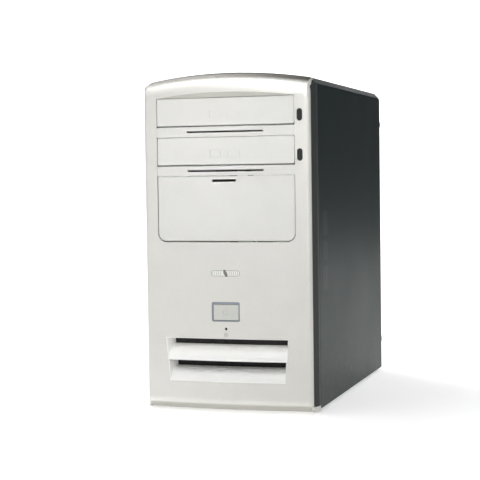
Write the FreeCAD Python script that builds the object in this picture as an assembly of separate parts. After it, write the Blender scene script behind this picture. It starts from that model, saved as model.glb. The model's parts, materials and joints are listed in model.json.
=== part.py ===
"""Desktop computer tower, built as its separate pieces, in millimetres.

A compact upright case: a silver moulded front with a crowned face and an arched top, two drive trays, a
drop-down bay door, a power button and two intake louvres, in front of a charcoal sheet-steel box that holds
the drives, the power supply, the main board with its cooler, cards and memory, and the rear fan.

While it is drawn, +X is to the right seen from the front, +Y runs from the front face (Y = 0 at its side
edges) to the back, and Z = 0 is the floor under the feet. save() moves everything along Y, so that the
origin of the finished frame is under the middle of the tower's box.
"""
import FreeCAD
import Part
import math
import os

from FreeCAD import Vector

# ---- driving dimensions of the case ----
HALF_W = 94.0            # half the width of the moulded front
CASE_HALF = 97.6         # half the width over the steel side panels
FOOT = 4.0               # the steel's underside above the floor
FRONT_FOOT = 1.8         # the moulded front's underside above the floor
CORNER_TOP = 360.0       # height of the top cover, and of the front at its corners
APEX = 368.0             # height of the front's arched top at its middle
SEAM_Y = 21.0            # where the moulded front ends and the steel begins
REAR_Y = 350.0           # outer face of the rear panel
SHEET = 1.0              # steel sheet
CROWN = 6.0              # how far the front face bulges at its middle
SKIN = 2.5               # wall of the moulded front
TOP_ROUND = 22.0         # rounding of the front's top edge
FOOT_ROUND = 14.0        # rounding of the front's bottom edge
SIDE_ROUND = 6.0         # rounding of the front's side edges
LIP = 0.05               # gap between faces that touch when assembled

# ---- front layout ----
MID_X = 0.0              # centre line of the bays, the button and the louvres
FLAT_Y = -1.6            # plane of the bay fronts
PANEL_T = 3.0            # thickness of the bay fronts
BAY_W = 154.4            # width of the bay fronts
BAY_PITCH = 42.3
TRAY_FRONT_H = 29.4
UPPER_TRAY_TOP = 340.4
TRAY_GAP = 1.4           # dark gap under each tray front
THIN_GAP = 0.6
DOOR_TOP = UPPER_TRAY_TOP - 2 * BAY_PITCH + 0.5
DOOR_BOTTOM = 186.0
DOOR_CORNER = 9.0
WINDOW_HALF = BAY_W / 2 + THIN_GAP
WINDOW_Z = (DOOR_BOTTOM - 1.0, UPPER_TRAY_TOP + 0.5)
FRAME_BACK = 3.3         # depth to which the window's own frame reaches
VISOR_SLOPE = 1.22       # rise per millimetre of the visor's slanted underside
HINGE = (FLAT_Y + 1.1, DOOR_BOTTOM + 6.6)             # door hinge axis: Y, Z
HINGE_PIN = 0.8
EJECT_X = 83.0
EJECT_Z = (277.9, 320.2)
EJECT_SIZE = (5.4, 12.7)
POWER_X, POWER_Z = MID_X - 0.2, 110.0
POWER_RING = (31.8, 21.4)
LAMP_Z = (91.5, 84.8)
LAMP_R = (1.5, 2.3)
BADGE_Z = 151.6
BADGE = (34.0, 7.6)
LOUVRE_Z = (33.3, 81.3)
LOUVRE_HALF = (65.6, 70.0)
LOUVRE_X = MID_X - 0.5
CLIP_Z = (60.0, 300.0)

# ---- drives, board, power supply and fans ----
DRIVE_W, DRIVE_H, DRIVE_L = 146.0, 41.3, 170.0
DRIVE_FRONT = 8.5
DRIVE_Z = (262.6, 304.9)
TRAY_HALF = 64.0
TRAY_L = 152.0
TRAY_T = 9.0
TRAY_UP = 22.6           # underside of the tray above the underside of its drive
SMALL_W = 101.6          # width of a floppy drive and of a hard disk
FLOPPY_Z = (226.0, 251.4)
DISK_Z = (150.0, 176.1)
PORT_Z = 205.0
WALL_X = 84.5            # steel wall that carries the main board
BOARD_X = 77.4           # component face of the main board
BOARD_T = 1.6
BOARD_Y = (103.0, 347.0)
BOARD_Z = (16.0, 260.0)
PSU_X = (-72.6, 77.4)
PSU_Y = (208.9, 348.9)
PSU_Z = (270.0, 356.0)
FAN = 80.0
FAN_DEPTH = 25.0
REAR_FAN = (-28.0, 205.0)
PSU_FAN = (-23.0, 313.0)
COOLER_YZ = (270.0, 190.0)
COOLER = 70.0
IO_X = (35.0, 79.5)
IO_Z = (101.0, 259.5)
MEMORY_Y = (190.0, 200.5)
PORTS = {"keyboard": (244.5, 257.5, 27), "printer": (186, 238, 14), "network": (169.6, 184.4, 14),
         "usb": (152, 168, 17), "sound": (106, 144, 13)}     # low, high, reach from the board
PORT_OUT = 0.8           # how far the sockets stand out of the rear panel
SLOT_Z = (27.0, 47.3, 67.6, 87.9)
INLET = (50.0, 331.0)
ROCKER = (52.0, 296.0)
SELECTOR = (26.0, 296.0)
ROCKER_PIVOT = 346.0     # depth of the rocker's pivot
ROCKER_TILT = 9.0
THUMB_X, THUMB_Z = 91.3, (40.0, 320.0)
THUMB_HEAD = 8.0
FEET_AT = [(x, y) for x in (-66, 66) for y in (46, 322)]
RAIL_Z = 352.0           # underside of the side panels' top rails
SHOULDER_Z = 353.4       # where the steel's slanted shoulders begin
SHOULDER_IN = 6.0        # how far the shoulders lean in
TRIM_FRONT = 5.0         # where the flared trims start behind the front's side edges
TRIM_Z = (8.0, 351.5)

FRONT_MOST = -CROWN
REAR_MOST = REAR_Y + SHEET + LIP + THUMB_HEAD
Y_SHIFT = -(FRONT_MOST + REAR_MOST) / 2
X_AXIS, Y_AXIS, Z_AXIS = Vector(1, 0, 0), Vector(0, 1, 0), Vector(0, 0, 1)


# ---- drawing helpers ----
def box(x, y, z):
    """A block between two values on each axis."""
    return Part.makeBox(x[1] - x[0], y[1] - y[0], z[1] - z[0], Vector(x[0], y[0], z[0]))


def rod(radius, start, length, axis=Y_AXIS):
    return Part.makeCylinder(radius, length, Vector(*start), axis)


def join(pieces):
    whole = pieces[0].multiFuse(pieces[1:]) if len(pieces) > 1 else pieces[0]
    return whole.removeSplitter()


def group(pieces):
    """Separate solids that share one node."""
    return Part.makeCompound(pieces)


def face_of(edges):
    return Part.Face(Part.Wire(edges))


def polygon(points):
    return Part.Face(Part.makePolygon(points + points[:1]))


def prism_xz(points, y):
    """A polygon of (x, z) points, drawn out between two values of Y."""
    return polygon([Vector(a, y[0], b) for a, b in points]).extrude(Vector(0, y[1] - y[0], 0))


def prism_yz(points, x):
    """A polygon of (y, z) points, drawn out between two values of X."""
    return polygon([Vector(x[0], a, b) for a, b in points]).extrude(Vector(x[1] - x[0], 0, 0))


def upright(block, radius):
    """Rounds a block's four edges along Y."""
    edges = [e for e in block.Edges if e.BoundBox.YLength > 1e-3 and e.BoundBox.DiagonalLength
             - e.BoundBox.YLength < 1e-3]
    return block.makeFillet(radius, edges)


def plate(centre, size, y, radius):
    """A plate facing the front, with rounded corners, about a centre (x, z)."""
    half_w, half_h = size[0] / 2, size[1] / 2
    block = box((centre[0] - half_w, centre[0] + half_w), y, (centre[1] - half_h, centre[1] + half_h))
    return upright(block, radius)


def pill(centre, size, y):
    return plate(centre, size, y, size[0] / 2 - 0.01)


def mirrored(shape):
    return shape.mirror(Vector(0, 0, 0), X_AXIS)


def save(name, shape):
    moved = shape.copy()
    moved.translate(Vector(0, Y_SHIFT, 0))
    for solid in moved.Solids:
        if not solid.isValid() or solid.Volume <= 0:
            print("bad solid in", name)
    moved.exportStep("parts/" + name + ".step")


# ---- moulded front ----
def front_block(inset):
    """The front's full outer form, drawn in by `inset` all round and left open towards the back."""
    half, bottom, top = HALF_W - inset, FRONT_FOOT + inset, CORNER_TOP - inset
    deep = SEAM_Y if inset == 0 else SEAM_Y + 5
    crown = Part.Arc(Vector(-half, inset, 0), Vector(0, inset - CROWN, 0), Vector(half, inset, 0)).toShape()
    plan = face_of([Part.makeLine(Vector(-half, 60, 0), Vector(-half, inset, 0)), crown,
                    Part.makeLine(Vector(half, inset, 0), Vector(half, 60, 0)),
                    Part.makeLine(Vector(half, 60, 0), Vector(-half, 60, 0))])
    arch = Part.Arc(Vector(-half, -20, top), Vector(0, -20, APEX - inset), Vector(half, -20, top)).toShape()
    face = face_of([Part.makeLine(Vector(-half, -20, bottom), Vector(-half, -20, top)), arch,
                    Part.makeLine(Vector(half, -20, top), Vector(half, -20, bottom)),
                    Part.makeLine(Vector(half, -20, bottom), Vector(-half, -20, bottom))])
    block = plan.extrude(Vector(0, 0, APEX + 20)).common(face.extrude(Vector(0, 20 + deep, 0)))
    wide = [e for e in block.Edges if e.BoundBox.XLength > HALF_W and e.CenterOfMass.y < 5]
    block = block.makeFillet(TOP_ROUND - inset, [e for e in wide if e.CenterOfMass.z > CORNER_TOP - 5])
    wide = [e for e in block.Edges if e.BoundBox.XLength > HALF_W and e.CenterOfMass.y < 5]
    block = block.makeFillet(FOOT_ROUND - inset, [e for e in wide if e.BoundBox.ZMax < bottom + 0.1])
    side = [e for e in block.Edges if e.BoundBox.XLength < 1e-3 and e.BoundBox.YMin < SEAM_Y - 1
            and abs(abs(e.CenterOfMass.x) - half) < 1e-3]
    return block.makeFillet(SIDE_ROUND - inset, side)


def window(grow):
    """The bay opening: square at the top, rounded at the bottom, grown by `grow` all round."""
    half, radius = WINDOW_HALF + grow, DOOR_CORNER + THIN_GAP + grow
    low, high = WINDOW_Z[0] - grow, WINDOW_Z[1] + grow
    block = box((MID_X - half, MID_X + half), (-20, FRAME_BACK), (low, high))
    edges = [e for e in block.Edges if e.BoundBox.YLength > 20 and e.CenterOfMass.z < low + 1]
    return block.makeFillet(radius, edges)


def louvre_outline(shrink, y):
    low, high = LOUVRE_Z[0] + shrink, LOUVRE_Z[1] - shrink
    foot, head = LOUVRE_HALF[0] - shrink, LOUVRE_HALF[1] - shrink
    return prism_xz([(LOUVRE_X - foot, low), (LOUVRE_X + foot, low),
                     (LOUVRE_X + head, high), (LOUVRE_X - head, high)], y)


def trim_region(gap):
    """The long rounded field on each flank of the front, in which a dark trim strip lies."""
    block = box((-CASE_HALF - 1, CASE_HALF + 1), (TRIM_FRONT + gap, SEAM_Y + 12),
                (TRIM_Z[0] + gap, TRIM_Z[1] - gap))
    for radius, height in ((5, TRIM_Z[0] + gap), (3, TRIM_Z[1] - gap)):
        block = block.makeFillet(radius, [e for e in block.Edges if e.BoundBox.XLength > 20
                                          and e.CenterOfMass.y < 6 and abs(e.CenterOfMass.z - height) < 0.1])
    return block.cut(box((-88.5 - gap, 88.5 + gap), (-20, 60), (0, CORNER_TOP + 20)))


def flare(back):
    """Plan form of the right flank, from the front's side edge out to the width of the steel."""
    plan = [(90, TRIM_FRONT), (HALF_W - 0.1, TRIM_FRONT), (CASE_HALF, 15), (CASE_HALF, back), (90, back)]
    form = polygon([Vector(x, y, 0) for x, y in plan]).extrude(Vector(0, 0, APEX))
    bend = [e for e in form.Edges if e.BoundBox.ZLength > 300 and abs(e.CenterOfMass.y - 15) < 0.1]
    return form.makeFillet(6, bend)


def bezel_heels():
    """The front's lower corners, which lead out under the trims to the width of the steel."""
    block = box((HALF_W - 2, CASE_HALF), (TRIM_FRONT, SEAM_Y), (FRONT_FOOT, TRIM_Z[0]))
    block = block.makeFillet(5.5, [e for e in block.Edges if e.BoundBox.XLength > 3
                                   and e.BoundBox.YMax < TRIM_FRONT + 0.1 and e.BoundBox.ZMax < FOOT])
    right = flare(SEAM_Y).common(block)
    return [right, mirrored(right)]


def trim_shoulder():
    """Upper end of the right trim, which leads out to the slanted shoulder of the steel."""
    block = box((HALF_W + 0.1, CASE_HALF), (TRIM_FRONT, SEAM_Y), (TRIM_Z[1] - 40, CORNER_TOP))
    front = [e for e in block.Edges if e.BoundBox.XLength > 3 and e.BoundBox.YMax < TRIM_FRONT + 0.1]
    block = block.makeFillet(14.5, [e for e in front if e.BoundBox.ZMin > CORNER_TOP - 0.1])
    low = TRIM_Z[1] - 0.6
    under_roof = prism_xz([(0, low), (CASE_HALF, low), *roof_profile(0)[:2], (0, CORNER_TOP)], (0, 40))
    return flare(SEAM_Y - 0.1).common(block).common(under_roof)


def front_bezel(outer, room):
    """The moulded front: everything in its outer form that its hollow, windows and seats leave."""
    high = WINDOW_Z[1]
    half = WINDOW_HALF + 1.6
    keep = [window(1.6).cut(window(0)),
            prism_yz([(FLAT_Y, high), (-9, high + (-9 - FLAT_Y) * -VISOR_SLOPE), (-9, high + 13),
                      (FLAT_Y, high + 3.2), (FRAME_BACK, high + 3.2), (FRAME_BACK, high)],
                     (MID_X - half, MID_X + half)),
            box((-HALF_W, HALF_W), (19.4, SEAM_Y), (CORNER_TOP - 1.2, APEX))]
    keep += [rod(2.5, (POWER_X + dx, -5, z), 13.9) for dx in (-21.5, 21.5) for z in (88, 118)]
    for solid in keep:
        room = room.cut(solid)
    whole = outer.cut(room)
    wedge = prism_yz([(FLAT_Y, high), (-14, high), (-14, high + (-14 - FLAT_Y) * -VISOR_SLOPE)],
                     (MID_X - WINDOW_HALF, MID_X + WINDOW_HALF))
    cuts = [window(0), wedge, louvre_outline(0, (-20, 30)),
            plate((POWER_X, POWER_Z), POWER_RING, (-20, 0), 2.0)]
    cuts += [pill((EJECT_X, z), (EJECT_SIZE[0] + 0.6, EJECT_SIZE[1] + 0.6), (-20, 10)) for z in EJECT_Z]
    cuts += [rod(r + 0.05, (MID_X, -20, z), 25) for r, z in zip(LAMP_R, LAMP_Z)]
    cuts += [rod(HINGE_PIN + 0.05, (MID_X + start, *HINGE), 13.5, X_AXIS) for start in (-79.5, 66)]
    badge = plate((MID_X, BADGE_Z), BADGE, (-20, 20), BADGE[1] / 2 - 0.01)
    cuts += [badge.cut(front_block(0.6)), trim_region(0).cut(front_block(1.4))]
    for cut in cuts:
        whole = whole.cut(cut)
    clips = [box((x, x + 4), (10, 24.5), (z - 5, z + 5)) for x in (-92, 88) for z in CLIP_Z]
    return join([whole, *clips, *bezel_heels()])


def bezel_trims():
    """Dark strips let into the flanks of the front, flaring out to the width of the steel behind."""
    strip = flare(SEAM_Y - 0.1).common(trim_region(0.1)).cut(front_block(1.35))
    right = join([strip, trim_shoulder()])
    return group([*right.Solids, *mirrored(right).Solids])


def badge_plate(outer):
    lozenge = plate((MID_X, BADGE_Z), (BADGE[0] - 0.2, BADGE[1] - 0.2), (-20, 20), BADGE[1] / 2 - 0.11)
    return outer.cut(front_block(0.55)).common(lozenge)


def bay_strip(top):
    """Fixed strip under a tray front, with its long narrow slot."""
    low = UPPER_TRAY_TOP - BAY_PITCH + THIN_GAP if top else DOOR_TOP + 0.5
    high = UPPER_TRAY_TOP - TRAY_FRONT_H - TRAY_GAP - (0 if top else BAY_PITCH)
    half = WINDOW_HALF - 0.1
    body = box((MID_X - half, MID_X + half), (FLAT_Y, FLAT_Y + PANEL_T), (low, high))
    middle = (low + high) / 2
    slot = plate((MID_X, middle), (86, 2.1), (-20, 20), 1.0)
    ribs = [box((MID_X + dx - 1, MID_X + dx + 1), (FLAT_Y + PANEL_T, 6), (low + 1, high - 1))
            for dx in (-70, 70)]
    return join([body.cut(slot), *ribs])


def louvre_hollow():
    """Inside of the intake's duct, whose cheeks and roof lean inwards towards the back."""
    low = LOUVRE_Z[0] + 1.65
    wires = []
    for y in (-20, 30):
        wall = 0.9 + 0.3 * (y + 3)
        high = LOUVRE_Z[1] - 0.7 - 0.06 * (y + 6)
        foot, head = LOUVRE_HALF[0] - wall, LOUVRE_HALF[1] - wall
        corners = [(-foot, low), (foot, low), (head, high), (-head, high), (-foot, low)]
        wires.append(Part.makePolygon([Vector(LOUVRE_X + x, y, z) for x, z in corners]))
    return Part.makeLoft(wires, True, True)


def intake_louvres(outer):
    """Two scooped blades in a duct, swept round the crown of the front face."""
    duct = louvre_outline(0.15, (-12, 12.5)).cut(louvre_hollow())
    radius = (HALF_W ** 2 + CROWN ** 2) / (2 * CROWN)
    turn = 12.0
    blades = []
    for low, lip in ((56.4, 2.2), (LOUVRE_Z[0] + 0.2, 1.0)):
        knee = low + lip
        tip = (9.0, knee + 14.6)
        back = Part.Arc(Vector(0, -CROWN + 1.8, knee - 0.6), Vector(0, -0.6, knee + 7.0),
                        Vector(0, tip[0], tip[1] - 1.8)).toShape()
        front = Part.Arc(Vector(0, tip[0], tip[1]), Vector(0, -2.2, knee + 8.0),
                         Vector(0, -CROWN, knee)).toShape()
        edges = [front, Part.makeLine(Vector(0, -CROWN, knee), Vector(0, -CROWN, low)),
                 Part.makeLine(Vector(0, -CROWN, low), Vector(0, -CROWN + 1.8, low)),
                 Part.makeLine(Vector(0, -CROWN + 1.8, low), Vector(0, -CROWN + 1.8, knee - 0.6)), back,
                 Part.makeLine(Vector(0, tip[0], tip[1] - 1.8), Vector(0, tip[0], tip[1]))]
        profile = face_of(edges)
        pivot = Vector(0, radius - CROWN, 0)
        profile.rotate(pivot, Z_AXIS, -turn / 2)
        blades.append(profile.revolve(pivot, Z_AXIS, turn).common(louvre_outline(0.15, (-12, 12.5))))
    return join([duct, *blades]).common(outer)


def intake_filter():
    return box((LOUVRE_X - 68, LOUVRE_X + 68), (13, 16), (LOUVRE_Z[0] - 1, LOUVRE_Z[1] + 1))


def indicator_lenses(outer):
    pins = [rod(r, (MID_X, -12, z), 13).common(outer) for r, z in zip(LAMP_R, LAMP_Z)]
    return group(pins)


def power_button_ring(outer):
    rim = plate((POWER_X, POWER_Z), (POWER_RING[0] - 0.1, POWER_RING[1] - 0.1), (-12, -1), 1.95)
    flange = plate((POWER_X, POWER_Z), (35.5, 25), (-3.0, -1), 2.5)
    hole = plate((POWER_X, POWER_Z - 0.65), (POWER_RING[0] - 2.8, POWER_RING[1] - 4.1), (-20, 20), 1.2)
    return join([rim.common(outer), flange]).cut(hole)


def power_button():
    size = (POWER_RING[0] - 3.2, POWER_RING[1] - 4.5)
    face = -CROWN + 0.7
    cap = plate((POWER_X, POWER_Z - 0.65), size, (face, -1.2), 1.0)
    front_edges = [e for e in cap.Edges if e.BoundBox.YMax < face + 0.01]
    cap = cap.makeFillet(0.5, front_edges)
    ring = rod(3.2, (POWER_X, face - 1, POWER_Z - 0.65), 1.35).cut(
        rod(2.5, (POWER_X, face - 2, POWER_Z - 0.65), 4))
    bar = box((POWER_X - 0.35, POWER_X + 0.35), (face - 1, face + 0.35), (POWER_Z + 0.4, POWER_Z + 3.6))
    gap = box((POWER_X - 1.1, POWER_X + 1.1), (face - 1, face + 0.35), (POWER_Z + 0.4, POWER_Z + 4))
    stem = rod(2.5, (POWER_X, -1.2, POWER_Z - 0.65), 3.9)
    return join([cap.cut(ring.cut(gap)).cut(bar), stem])


def front_switch_board():
    board = box((POWER_X - 25, POWER_X + 25), (9, 10.6), (81.5, 123))
    switch = box((POWER_X - 3.5, POWER_X + 3.5), (5, 9), (POWER_Z - 4.2, POWER_Z + 2.9))
    lamps = [rod(1.4, (MID_X, 1.5, z), 7.5) for z in LAMP_Z]
    return join([board, switch, *lamps])


def eject_button(z):
    face = -1.9
    cap = pill((EJECT_X, z), EJECT_SIZE, (face, 2.1))
    cap = cap.makeFillet(0.5, [e for e in cap.Edges if e.BoundBox.YMax < face + 0.01])
    flange = pill((EJECT_X, z), (EJECT_SIZE[0] + 1.2, EJECT_SIZE[1] + 2.4), (2.1, 3.0))
    stem = box((80.8, 85.4), (3.0, 3.6), (z - 3.5, z + 3.5))
    arm = box((67.1, 85.4), (3.6, 5.2), (z - 2.5, z + 2.5))
    return join([cap, flange, stem, arm])


# ---- trays and drives ----
def tray_front(top):
    half = BAY_W / 2
    body = box((MID_X - half, MID_X + half), (FLAT_Y, FLAT_Y + PANEL_T), (top - TRAY_FRONT_H, top))
    edges = [e for e in body.Edges if e.BoundBox.YMax < FLAT_Y + 0.01]
    body = body.makeChamfer(0.35, edges)
    label = (MID_X + 0.2, top - 17.4)
    pocket = plate(label, (34, 8.6), (-12, FLAT_Y + 0.6), 0.8)
    blocks = [plate((label[0] + dx, label[1] - 0.4), (11.2, 6.4), (FLAT_Y + 0.05, FLAT_Y + 1), 0.5)
              for dx in (-10.6, 10.6)]
    disc = rod(3.3, (label[0], FLAT_Y + 0.05, label[1] - 0.4), 1).cut(
        rod(1.5, (label[0], -12, label[1] - 0.4), 20))
    return join([body.cut(pocket), *blocks, disc])


def tray(z):
    """Disc tray with its two stepped recesses, spindle hole and sled slot, and the lug for its front."""
    low = z + TRAY_UP
    high = low + TRAY_T
    centre = 72.0
    body = box((MID_X - TRAY_HALF, MID_X + TRAY_HALF), (6, 6 + TRAY_L), (low, high))
    cuts = [rod(60.6, (MID_X, centre, high - 2.2), 5, Z_AXIS),
            rod(40.6, (MID_X, centre, high - 3.8), 5, Z_AXIS),
            rod(18, (MID_X, centre, low - 1), 20, Z_AXIS),
            box((MID_X - 18, MID_X + 18), (centre, 6 + TRAY_L - 8), (low - 1, high + 1)),
            box((MID_X - TRAY_HALF + 4, MID_X + TRAY_HALF - 4), (14, 6 + TRAY_L - 4), (low - 1, low + 3))]
    for cut in cuts:
        body = body.cut(cut)
    lug = box((MID_X - 58, MID_X + 58), (FLAT_Y + PANEL_T, 6), (low + 1, high - 1))
    return join([body, lug])


def optical_drive(z, button_z):
    half, back = DRIVE_W / 2, DRIVE_FRONT + DRIVE_L
    shell = box((MID_X - half, MID_X + half), (DRIVE_FRONT, back), (z, z + DRIVE_H))
    room = box((MID_X - half + 1, MID_X + half - 1), (DRIVE_FRONT + 2, back - 1), (z + 1, z + DRIVE_H - 1))
    slot = box((MID_X - 65, MID_X + 65), (0, DRIVE_FRONT + 4), (z + TRAY_UP - 1, z + TRAY_UP + TRAY_T + 1.5))
    deck = box((MID_X - half + 1, MID_X + half - 1), (DRIVE_FRONT + 2, back - 1), (z + 15, z + 16.2))
    socket = box((MID_X - 62, MID_X - 6), (back, back + 6), (z + 5, z + 14)).cut(
        box((MID_X - 60, MID_X - 8), (back + 1, back + 9), (z + 6.5, z + 12.5)))
    supply = box((MID_X + 38, MID_X + 60), (back, back + 6), (z + 5, z + 14)).cut(
        box((MID_X + 39.5, MID_X + 58.5), (back + 1, back + 9), (z + 6.5, z + 12.5)))
    nub = box((66.2, 72.0), (7.2, DRIVE_FRONT), (button_z - 2, button_z + 2))
    return join([shell.cut(room).cut(slot), deck, socket, supply, nub])


def floppy_drive():
    half = SMALL_W / 2 - 0.4
    low, high = FLOPPY_Z
    shell = box((MID_X - half, MID_X + half), (8, 150), FLOPPY_Z)
    room = box((MID_X - half + 1.2, MID_X + half - 1.2), (11, 148.8), (low + 1.2, high - 1.2))
    mouth = box((MID_X - 45.5, MID_X + 45.5), (0, 14), (low + 14, low + 17.8))
    recess = box((MID_X - 16, MID_X + 16), (0, 10), (low + 11, low + 21))
    hole = box((MID_X + 29.8, MID_X + 44.2), (0, 14), (low + 3.8, low + 10.2))
    lamp = box((MID_X - 42, MID_X - 37), (7.4, 8), (low + 5, low + 7.5))
    return join([shell.cut(room).cut(mouth).cut(recess).cut(hole), lamp])


def floppy_eject_button():
    low = FLOPPY_Z[0] + 4
    cap = box((MID_X + 30, MID_X + 44), (5.6, 12), (low, low + 6))
    return cap.makeFillet(0.6, [e for e in cap.Edges if e.BoundBox.YMax < 5.7])


def hard_disk():
    half = SMALL_W / 2 - 0.4
    low, high = DISK_Z
    body = box((MID_X - half, MID_X + half), (24, 171), (low + 5, high))
    lid = box((MID_X - half + 3, MID_X + half - 3), (28, 150), (high - 1.2, high + 1))
    board = box((MID_X - half + 2, MID_X + half - 2), (60, 168), (low + 3, low + 5))
    data = box((MID_X + 0, MID_X + 46), (164, 172), (low + 0.5, low + 5))
    return join([body, lid, board, data])


def bay_door():
    """Drop-down door over the lower bay, with its scooped finger pull under a lip."""
    half = BAY_W / 2
    body = box((MID_X - half, MID_X + half), (FLAT_Y, FLAT_Y + PANEL_T), (DOOR_BOTTOM, DOOR_TOP))
    upright_low = [e for e in body.Edges if e.BoundBox.YLength > 2.9 and e.CenterOfMass.z < DOOR_BOTTOM + 1]
    body = body.makeFillet(DOOR_CORNER, upright_low)
    face = [e for e in body.Edges if e.BoundBox.YMax < FLAT_Y + 0.01 and e.CenterOfMass.z < DOOR_TOP - 1]
    body = body.makeChamfer(0.45, face)
    pull = (MID_X - 1.7, DOOR_TOP - 3.6)
    scoop = prism_yz([(FLAT_Y - 1, pull[1]), (FLAT_Y + 2.2, pull[1]), (FLAT_Y + 0.7, pull[1] - 4.0),
                      (FLAT_Y - 1, pull[1] - 10)], (pull[0] - 13.5, pull[0] + 13.5))
    taper = prism_xz([(pull[0] - 13.5, pull[1] + 1), (pull[0] + 13.5, pull[1] + 1),
                      (pull[0] + 9.5, pull[1] - 11), (pull[0] - 9.5, pull[1] - 11)], (-5, 5))
    slot = plate((pull[0], pull[1] - 1.3), (27, 2.6), (-5, 5), 0.5)
    lip = prism_yz([(FLAT_Y, pull[1]), (FLAT_Y - 0.6, pull[1] + 0.1), (FLAT_Y - 0.6, pull[1] + 0.6),
                    (FLAT_Y, pull[1] + 1.8)], (pull[0] - 14, pull[0] + 14))
    body = body.cut(scoop.common(taper)).cut(slot).fuse(lip)
    for x in (-78.9, 67.5):
        body = body.cut(rod(HINGE_PIN, (MID_X + x, *HINGE), 11.4, X_AXIS))
    rib = box((MID_X - 60, MID_X + 60), (FLAT_Y + PANEL_T, FLAT_Y + PANEL_T + 1.4), (248, 249.5))
    return join([body, rib])


def door_hinge_pins():
    return group([rod(HINGE_PIN, (MID_X + x, *HINGE), 11.4, X_AXIS) for x in (-78.9, 67.5)])


def bay_liner():
    """Dark panel behind the door, round the floppy drive and the front sockets."""
    body = box((MID_X - 76.5, MID_X + 76.5), (8, 9.5), (187, 256))
    body = body.makeFillet(8, [e for e in body.Edges if e.BoundBox.YLength > 1.4 and e.CenterOfMass.z < 190])
    half = SMALL_W / 2
    body = body.cut(box((MID_X - half, MID_X + half), (0, 20), (FLOPPY_Z[0] - 0.4, FLOPPY_Z[1] + 0.4)))
    body = body.cut(box((MID_X - 31, MID_X + 31), (0, 20), (PORT_Z - 8, PORT_Z + 8)))
    catch = join([box((MID_X - 5, MID_X + 5), (2.4, 8), (252.2, 254.6))])
    return join([body, catch])


def front_port_sockets():
    """Block with two USB sockets and two audio sockets behind the door."""
    block = box((MID_X - 30.8, MID_X + 30.8), (8, 22), (PORT_Z - 7.8, PORT_Z + 7.8))
    for dx in (-21, -3):
        block = block.cut(box((MID_X + dx - 6.6, MID_X + dx + 6.6), (0, 21), (PORT_Z - 2.9, PORT_Z + 2.9)))
    for dx in (12, 23):
        block = block.cut(rod(1.8, (MID_X + dx, 0, PORT_Z), 20))
    tongues = [box((MID_X + dx - 5.5, MID_X + dx + 5.5), (13.5, 21), (PORT_Z - 0.2, PORT_Z + 1.6))
               for dx in (-21, -3)]
    return join([block, *tongues])


# ---- steelwork ----
def chassis_front():
    flanges = [box((x, x + 1), (20.5, 29), (10.2, 344)) for x in (-91.5, 90.5)]
    body = join([box((-91.5, 91.5), (20, 21), (10.2, 344)), box((-84, 84), (20, 21), (340, 357.6)), *flanges])
    cuts = [box((MID_X - 73.4, MID_X + 73.4), (0, 30), (261, 348)),
            box((MID_X - 51.4, MID_X + 51.4), (0, 30), (146, 258)),
            box((MID_X - 27, MID_X + 27), (0, 30), (80, 124))]
    cuts += [box((x, x + 4), (0, 30), (36, 76)) for x in range(-66, 63, 8)]
    cuts += [box((x, x + 5), (0, 30), (z - 6, z + 6)) for x in (-92, 87) for z in CLIP_Z]
    for cut in cuts:
        body = body.cut(cut)
    return body


def chassis_base():
    half = CASE_HALF - 2
    body = box((-half, half), (21.5, 348.8), (FOOT + 1, FOOT + 1 + SHEET))
    sides = [box((x, x + 1), (31, 340), (FOOT + 1, FOOT + 12)) for x in (-half, half - 1)]
    ribs = [box((-70, 70), (y, y + 12), (FOOT + 1, FOOT + 3.2)) for y in (110, 180, 250)]
    base = join([body, *sides, *ribs])
    for y in (110, 180, 250):
        base = base.cut(box((-69, 69), (y + 1, y + 11), (0, FOOT + 2.2)))
    for x, y in FEET_AT:
        base = base.cut(rod(2.2, (x, y, 0), 20, Z_AXIS))
    return base


def feet():
    pads = []
    for x, y in FEET_AT:
        pad = rod(9, (x, y, 0), FOOT + 1, Z_AXIS)
        pad = pad.makeFillet(1.2, [e for e in pad.Edges if e.BoundBox.ZMax < 0.01])
        pads.append(join([pad, rod(2.1, (x, y, FOOT), 4.5, Z_AXIS), rod(3.4, (x, y, FOOT + 2.05), 2, Z_AXIS)]))
    return group(pads)


def roof_profile(inset):
    """Section of the top cover: flat, with a slanted shoulder down each side."""
    drop, side = CORNER_TOP - SHOULDER_Z, SHOULDER_IN
    slant = inset * math.hypot(drop, side) / drop
    rise = inset * side / drop
    foot, head = CASE_HALF - slant, CASE_HALF - side - slant + rise
    return [(foot, SHOULDER_Z), (head, CORNER_TOP - inset), (-head, CORNER_TOP - inset), (-foot, SHOULDER_Z)]


def top_cover():
    """Steel top with slanted shoulders, a turned-down back lip and the two upper rails."""
    back = REAR_Y + LIP + SHEET
    outer = prism_xz(roof_profile(0), (SEAM_Y + 0.2, back))
    rear = [e for e in outer.Edges if e.BoundBox.YMin > back - 0.01 and e.CenterOfMass.z > 354]
    outer = outer.makeFillet(3.0, rear)
    inner = prism_xz(roof_profile(SHEET), (0, back - SHEET))
    half = CASE_HALF - 1.2
    rails = [box((x, x + 8.5), (SEAM_Y + 0.2, REAR_Y - 1.1), (SHOULDER_Z, SHOULDER_Z + SHEET))
             for x in (-half, half - 8.5)]
    return join([outer.cut(inner), *rails])


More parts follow.
